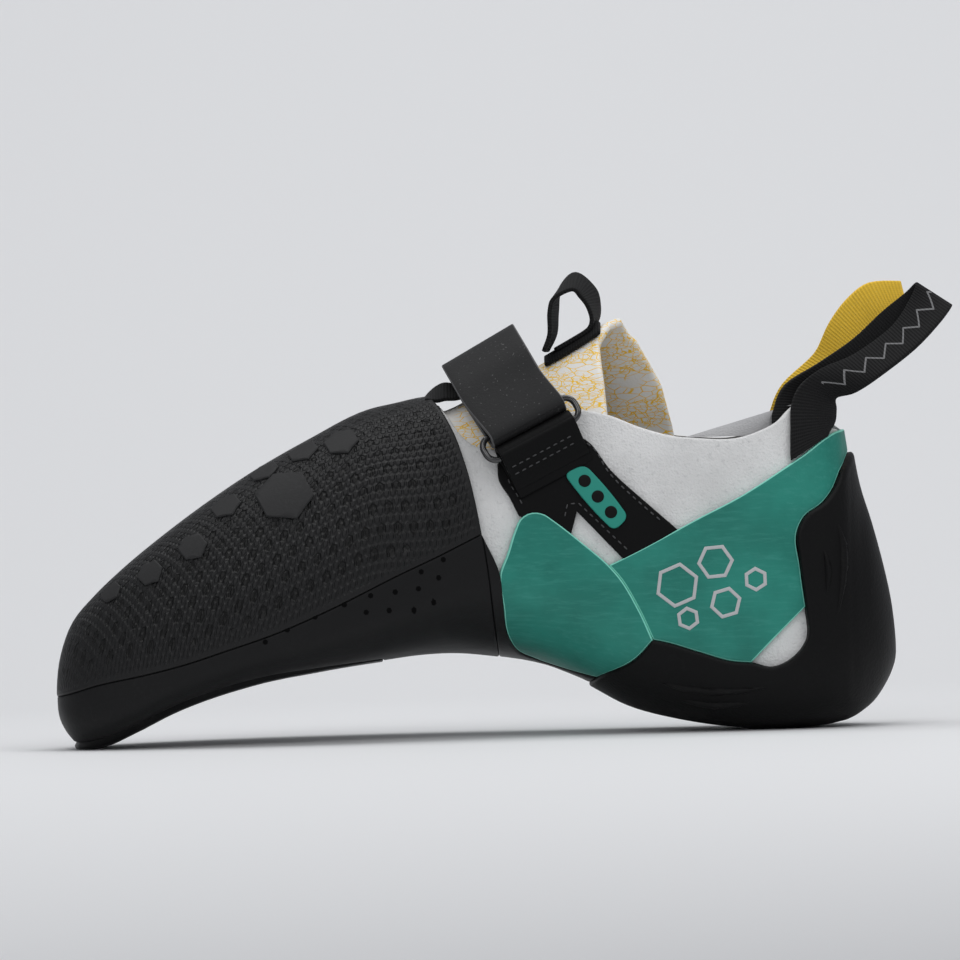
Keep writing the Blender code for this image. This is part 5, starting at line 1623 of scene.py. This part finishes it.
# Heel loops of webbing
heelLoop = {
    "width": 0.0122,
    "wall": 0.0013,
    "clear": 0.0004,
    "level": 0.8984 * last["heelHeight"],
    "across": (-0.5, -0.375, -0.25, -0.125, 0, 0.125, 0.25, 0.375, 0.5),
    # Feet: x, z from the level, lean of the width. Free parts: x, y, z from the level, lean, slant of the width.
    "outside": ((0.0128, -0.0053, -0.57), (0.0140, 0.0010, -0.10), (0.0144, 0.0060, 0.15)),
    "free": (
        (0.0168, 0.0145, 0.0108, 0.35, 0.50), (0.0225, 0.0150, 0.0135, 0.60, -0.20),
        (0.0305, 0.0155, 0.0175, 0.75, -0.90), (0.0410, 0.0140, 0.0250, 0.80, -1.00),
        (0.0475, 0.0105, 0.0325, 0.70, -0.60), (0.0500, 0.0070, 0.0367, 0.60, -0.10),
        (0.0470, 0.0045, 0.0340, 0.62, 0.00), (0.0395, 0.0050, 0.0280, 0.80, 0.00),
        (0.0310, 0.0062, 0.0205, 0.85, 0.05), (0.0215, 0.0085, 0.0148, 0.70, 0.25),
        (0.0122, 0.0108, 0.0112, 0.30, 0.65),
    ),
    "outerFree": (
        (0.0170, 0.0144, 0.0108, 0.45, 0.55), (0.0220, 0.0130, 0.0189, 0.62, 0.35),
        (0.0255, 0.0114, 0.0260, 0.75, 0.20), (0.0300, 0.0100, 0.0318, 0.90, 0.05),
        (0.0350, 0.0088, 0.0353, 1.10, 0.00), (0.0420, 0.0070, 0.0350, 1.35, 0.00),
        (0.0350, 0.0052, 0.0353, 1.10, 0.00), (0.0296, 0.0060, 0.0313, 0.90, 0.05),
        (0.0250, 0.0072, 0.0253, 0.75, 0.15), (0.0212, 0.0090, 0.0180, 0.60, 0.35),
        (0.0122, 0.0108, 0.0112, 0.30, 0.65),
    ),
    "inside": ((0.0105, 0.0060, 0.05), (0.0100, 0.0020, 0.00), (0.0100, -0.0025, 0.00)),
}


def loopFoot(side, foot, clear):
    rows = []
    for x, z, lean in foot:
        row = []
        for share in heelLoop["across"]:
            reach = share * (heelLoop["width"] - heelLoop["wall"] * 0.6)
            level = heelLoop["level"] + z
            place, normal = onSide(x + reach * math.cos(lean), level - reach * math.sin(lean), side > 0)
            row.append(place + normal * clear)
        rows.append(row)
    return rows


for name, node, side, finish, slotName in (
    ("heel_loop_black", "heel_loop_inner", -1, zigzagWebbing, "webbing_black"),
    ("heel_loop_yellow", "heel_loop_outer", 1, yellowWebbing, "webbing_yellow"),
):
    rows = loopFoot(side, heelLoop["outside"], last["gap"] + heelLoop["wall"] / 2 + heelLoop["clear"])
    for x, y, z, lean, slant in heelLoop["outerFree" if side > 0 else "free"]:
        way = Vector((math.cos(lean), -side * slant, -math.sin(lean))).normalized()
        way *= heelLoop["width"] - heelLoop["wall"] * 0.6
        middle = Vector((x, side * y, heelLoop["level"] + z))
        rows.append([middle + way * share for share in heelLoop["across"]])
    inwards = upper["wall"] + last["gap"] + heelLoop["wall"] / 2 + heelLoop["clear"]
    rows += loopFoot(side, heelLoop["inside"], -inwards)
    columns = [smoothPath(column, 5) for column in zip(*rows)]
    loop = slab(name, [list(row) for row in zip(*columns)], heelLoop["wall"], rim=heelLoop["wall"] * 0.3)
    dress(loop, finish, slotName, node)

tongueLoop = {
    "width": 0.0120,
    "wall": 0.0012,
    "level": 1.1534 * float(localHeight(0.667)),
    # x, y, z from the level, and how far the far edge lies towards the heel and up
    "path": (
        (-0.0596, -0.0030, -0.0082, 0.10, 0.00), (-0.0576, -0.0025, -0.0035, 0.16, 0.00),
        (-0.0572, -0.0020, 0.0026, 0.20, 0.00), (-0.0560, -0.0015, 0.0076, 0.16, 0.20),
        (-0.0512, -0.0005, 0.0110, 0.10, 0.42), (-0.0474, 0.0005, 0.0078, 0.38, 0.22),
        (-0.0458, 0.0010, 0.0041, 0.30, 0.05), (-0.0456, 0.0010, 0.0000, 0.15, 0.00),
        (-0.0478, 0.0010, -0.0029, 0.00, 0.00), (-0.0520, 0.0010, -0.0054, 0.00, 0.00),
        (-0.0568, 0.0010, -0.0080, 0.00, 0.00),
    ),
}
stations = []
for x, y, z, turn, tilt in tongueLoop["path"]:
    stations.append((Vector((x, y, tongueLoop["level"] + z)), Vector((turn, 1, tilt))))
rows = bandRows(stations, tongueLoop["width"] - tongueLoop["wall"] * 0.6, 7, 8)
pullLoop = slab("tongue_loop_webbing", rows, tongueLoop["wall"], rim=tongueLoop["wall"] * 0.3)
dress(pullLoop, blackWebbing, "webbing_black", "tongue_pull_loop")

# The loop's lower strand is sewn down along the tongue's front edge
binding = {"from": -0.0602, "to": -0.0450, "half": 0.0068, "wall": 0.0012, "clear": 0.0004}
rows = []
for x in np.linspace(binding["from"], binding["to"], 16):
    row = []
    for y in np.linspace(-binding["half"], binding["half"], 13):
        place, normal, _, _ = tree.ray_cast(Vector((x, y, 0.3)), Vector((0, 0, -1)))
        if normal.z < 0:
            normal = -normal
        row.append(place - normal * (upper["wall"] + last["gap"] - binding["clear"] - binding["wall"] / 2))
    rows.append(row)
bindingBand = slab("tongue_binding", rows, binding["wall"], rim=0.0003)
dress(bindingBand, blackWebbing, "webbing_black")

# Webbing from behind the toe patch to the tongue: share along the last, height over it, tilt across
keeper = {
    "width": 0.0112,
    "wall": 0.0012,
    "y": -0.0040,
    "path": (
        (0.4485, 0.0024, 0.05), (0.455, 0.0029, 0.22), (0.463, 0.0032, 0.38), (0.472, 0.0032, 0.42),
        (0.486, 0.0016, 0.35), (0.501, -0.0002, 0.15), (0.512, -0.0011, 0.05),
    ),
}
stations = []
for at, lift, tilt in keeper["path"]:
    place = tree.ray_cast(Vector((float(xOf(at)), keeper["y"], 0.3)), Vector((0, 0, -1)))[0]
    stations.append((place + Vector((0, 0, lift)), Vector((0, 1, tilt))))
rows = bandRows(stations, keeper["width"] - keeper["wall"] * 0.6, 7, 8)
keeperBand = slab("keeper_band", rows, keeper["wall"], rim=0.0004)
dress(keeperBand, blackWebbing, "webbing_black", "keeper_webbing")
print("loops made")

# Tongue: a folded cloth whose far wing reaches further back than the near one
tongue = {
    "wall": 0.0026,
    "frontAt": 0.425,
    "lowAt": 0.62,
    # Height and place of the rear edge
    "near": (
        (0.1190, -0.0425), (0.1160, -0.0448), (0.1110, -0.0468), (0.1000, -0.0452), (0.0873, -0.0440),
        (0.0600, -0.0410),
    ),
    "far": (
        (0.1190, -0.0425), (0.1163, -0.0400), (0.1120, -0.0355), (0.1054, -0.0318), (0.0984, -0.0282),
        (0.0864, -0.0253), (0.0600, -0.0210),
    ),
    "rows": 90,
    "wave": 0.0007,
}


def tongueRear(z, far):
    table = np.array(tongue["far" if far else "near"])
    return float(np.interp(-z, -table[:, 0], table[:, 1]))


def tongueGrid():
    columns = []
    depth = upper["wall"] + last["gap"] + tongue["wall"] / 2
    for step in range(-30, 31):
        far = step < 0
        j = (abs(step) / 30) ** 1.1 * 0.92
        column = []
        for k in range(tongue["rows"] + 1):
            share = k / tongue["rows"]
            frontX = float(xOf(tongue["frontAt"]))
            rearX = tongueRear(last["instepHeight"] * 1.1, far)
            for _ in range(3):
                x = frontX + (rearX - frontX) * share
                top = float(np.interp(x, skin.x, skin.points[:, 0, 2]))
                z = top - (top - tongue["lowAt"] * last["instepHeight"]) * j
                rearTop = float(np.interp(rearX, skin.x, skin.points[:, 0, 2]))
                rearX = tongueRear(rearTop - (rearTop - tongue["lowAt"] * last["instepHeight"]) * j, far)
            place = skin.place(x, z, far)
            point, normal = skin.at([place])
            point, normal = point[0], normal[0]
            fade = share**3 * math.sin(math.pi * min(1.0, j * 1.1))
            wave = tongue["wave"] * math.sin(11 * j + 2.2 * share * 3 + (1.7 if far else 0.0)) * fade
            column.append(Vector(point - normal * (depth + abs(wave))))
        columns.append(column)
    return [list(row) for row in zip(*columns)]


tongueCover = slab("tongue_cloth", tongueGrid(), tongue["wall"], rim=0.0012)
dress(tongueCover, printedCloth, "tongue_fabric", "tongue")

# Stitching
stitchLines = {
    "inset": 0.0020,
    "height": last["gap"] + strap["leather"] + 0.00012,
    "thread": 0.00022,
    "foldRows": (0.0076, 0.0094),
    "foldReach": 0.0102,
    "anchor": (
        ((0.548, 0.732), (0.545, 0.690), (0.556, 0.645), (0.565, 0.606)),
        ((0.634, 0.806), (0.650, 0.790), (0.666, 0.735), (0.706, 0.654), (0.734, 0.606)),
        ((0.688, 0.520), (0.630, 0.634), (0.616, 0.628), (0.611, 0.580)),
    ),
    "base": (
        ((0.546, 0.700), (0.556, 0.648), (0.566, 0.615)),
        ((0.640, 0.770), (0.692, 0.562), (0.688, 0.530)),
    ),
}
pairs = []
for shares in stitchLines["anchor"]:
    curve = smoothLine(sideLine(shares), 0.0008, closed=False)
    pairs += stitchPairs(curve, onto=ontoInner, height=stitchLines["height"])
foldPoints = [vertex.co for vertex in foldBand.data.vertices]
foldTree = BVHTree.FromPolygons(foldPoints, [polygon.vertices for polygon in foldBand.data.polygons])


def ontoFold(flat, height):
    above = ringCentre + ringLong * flat[0] - ringUp * flat[1] + ringOut * 0.02
    place = foldTree.ray_cast(above, -ringOut)[0]
    return place + ringOut * height, ringOut


for down in stitchLines["foldRows"]:
    reach = stitchLines["foldReach"]
    pairs += stitchPairs([(-reach, down), (reach, down)], onto=ontoFold, height=0.00012)
dress(capsules("anchor_stitches", pairs, stitchLines["thread"]), threadGrey, "anchor_leather")
pairs = []
for shares in stitchLines["base"]:
    curve = smoothLine(sideLine(shares), 0.0008, closed=False)
    pairs += stitchPairs(curve, onto=ontoOuter, height=stitchLines["height"])
dress(capsules("strap_base_stitches", pairs, stitchLines["thread"]), threadGrey, "anchor_leather")
print("stitches made")

# The insole keeps its CAD solid
insole = bpy.data.objects["insole"]
insole.data.materials.clear()
insole.data.materials.append(liningCloth)

# Floor, light and camera
studio = {
    "floor": (0.80, 0.805, 0.815),
    "target": (-0.0792, 0.0, 0.0722),
    "distance": 4.0,
    "width": 0.271,
    "elevation": math.radians(0.9),
    "roll": math.radians(-1.65),
    "left": -2.6,
    "right": 2.4,
    "reach": 2.5,
}
# A wide floor, and a low card behind the shoe that curves up from it, narrow enough to see past from behind
card = {"from": 0.35, "radius": 0.50, "rise": 66, "left": -0.36, "right": 0.20, "sunk": 0.0001}
floorPaint = newMaterial("studio floor", studio["floor"], 0.75)[0]
left, right, reach = studio["left"], studio["right"], studio["reach"]
corners = [(left, -reach, 0), (right, -reach, 0), (right, reach, 0), (left, reach, 0)]
floor = newMesh("studio_floor", corners, [(0, 1, 2, 3)])
points = []
for angle in range(0, card["rise"] + 1, 3):
    y = card["from"] + card["radius"] * math.sin(math.radians(angle))
    z = card["radius"] * (1 - math.cos(math.radians(angle))) - card["sunk"]
    points += [(card["left"], y, z), (card["right"], y, z)]
faces = [(k, k + 1, k + 3, k + 2) for k in range(0, len(points) - 2, 2)]
backCard = newMesh("studio_card", points, faces)
for stage in (floor, backCard):
    stage.data.materials.append(floorPaint)

scene = bpy.context.scene
world = bpy.data.worlds.new("studio")
scene.world = world
world.use_nodes = True
world.node_tree.nodes["Background"].inputs["Color"].default_value = (0.93, 0.95, 1.0, 1.0)
world.node_tree.nodes["Background"].inputs["Strength"].default_value = 0.34


def areaLight(name, place, target, size, energy):
    light = bpy.data.lights.new(name, "AREA")
    light.shape = "RECTANGLE"
    light.size, light.size_y = size
    light.energy = energy
    obj = bpy.data.objects.new(name, light)
    scene.collection.objects.link(obj)
    obj.location = place
    obj.rotation_euler = (Vector(target) - Vector(place)).to_track_quat("-Z", "Y").to_euler()


areaLight("top softbox", (-0.10, 0.10, 1.1), (-0.08, 0.0, 0.05), (1.2, 0.8), 7.0)
areaLight("front softbox", (-0.5, -1.3, 0.9), (-0.08, 0.0, 0.05), (0.9, 0.7), 3.6)
areaLight("rear softbox", (0.6, -0.6, 0.9), (-0.05, 0.0, 0.05), (0.6, 0.6), 2.6)

camera = bpy.data.cameras.new("camera")
camera.lens = camera.sensor_width * studio["distance"] / studio["width"]
camera.clip_start, camera.clip_end = 0.05, 20.0
eye = bpy.data.objects.new("camera", camera)
scene.collection.objects.link(eye)
target = Vector(studio["target"])
way = Vector((0, -math.cos(studio["elevation"]), math.sin(studio["elevation"])))
eye.location = target + way * studio["distance"]
look = (target - eye.location).to_track_quat("-Z", "Y").to_matrix()
roll = Matrix.Rotation(studio["roll"], 3, way)
eye.rotation_euler = (roll @ look).to_euler()
scene.camera = eye
scene.view_settings.view_transform = "Standard"
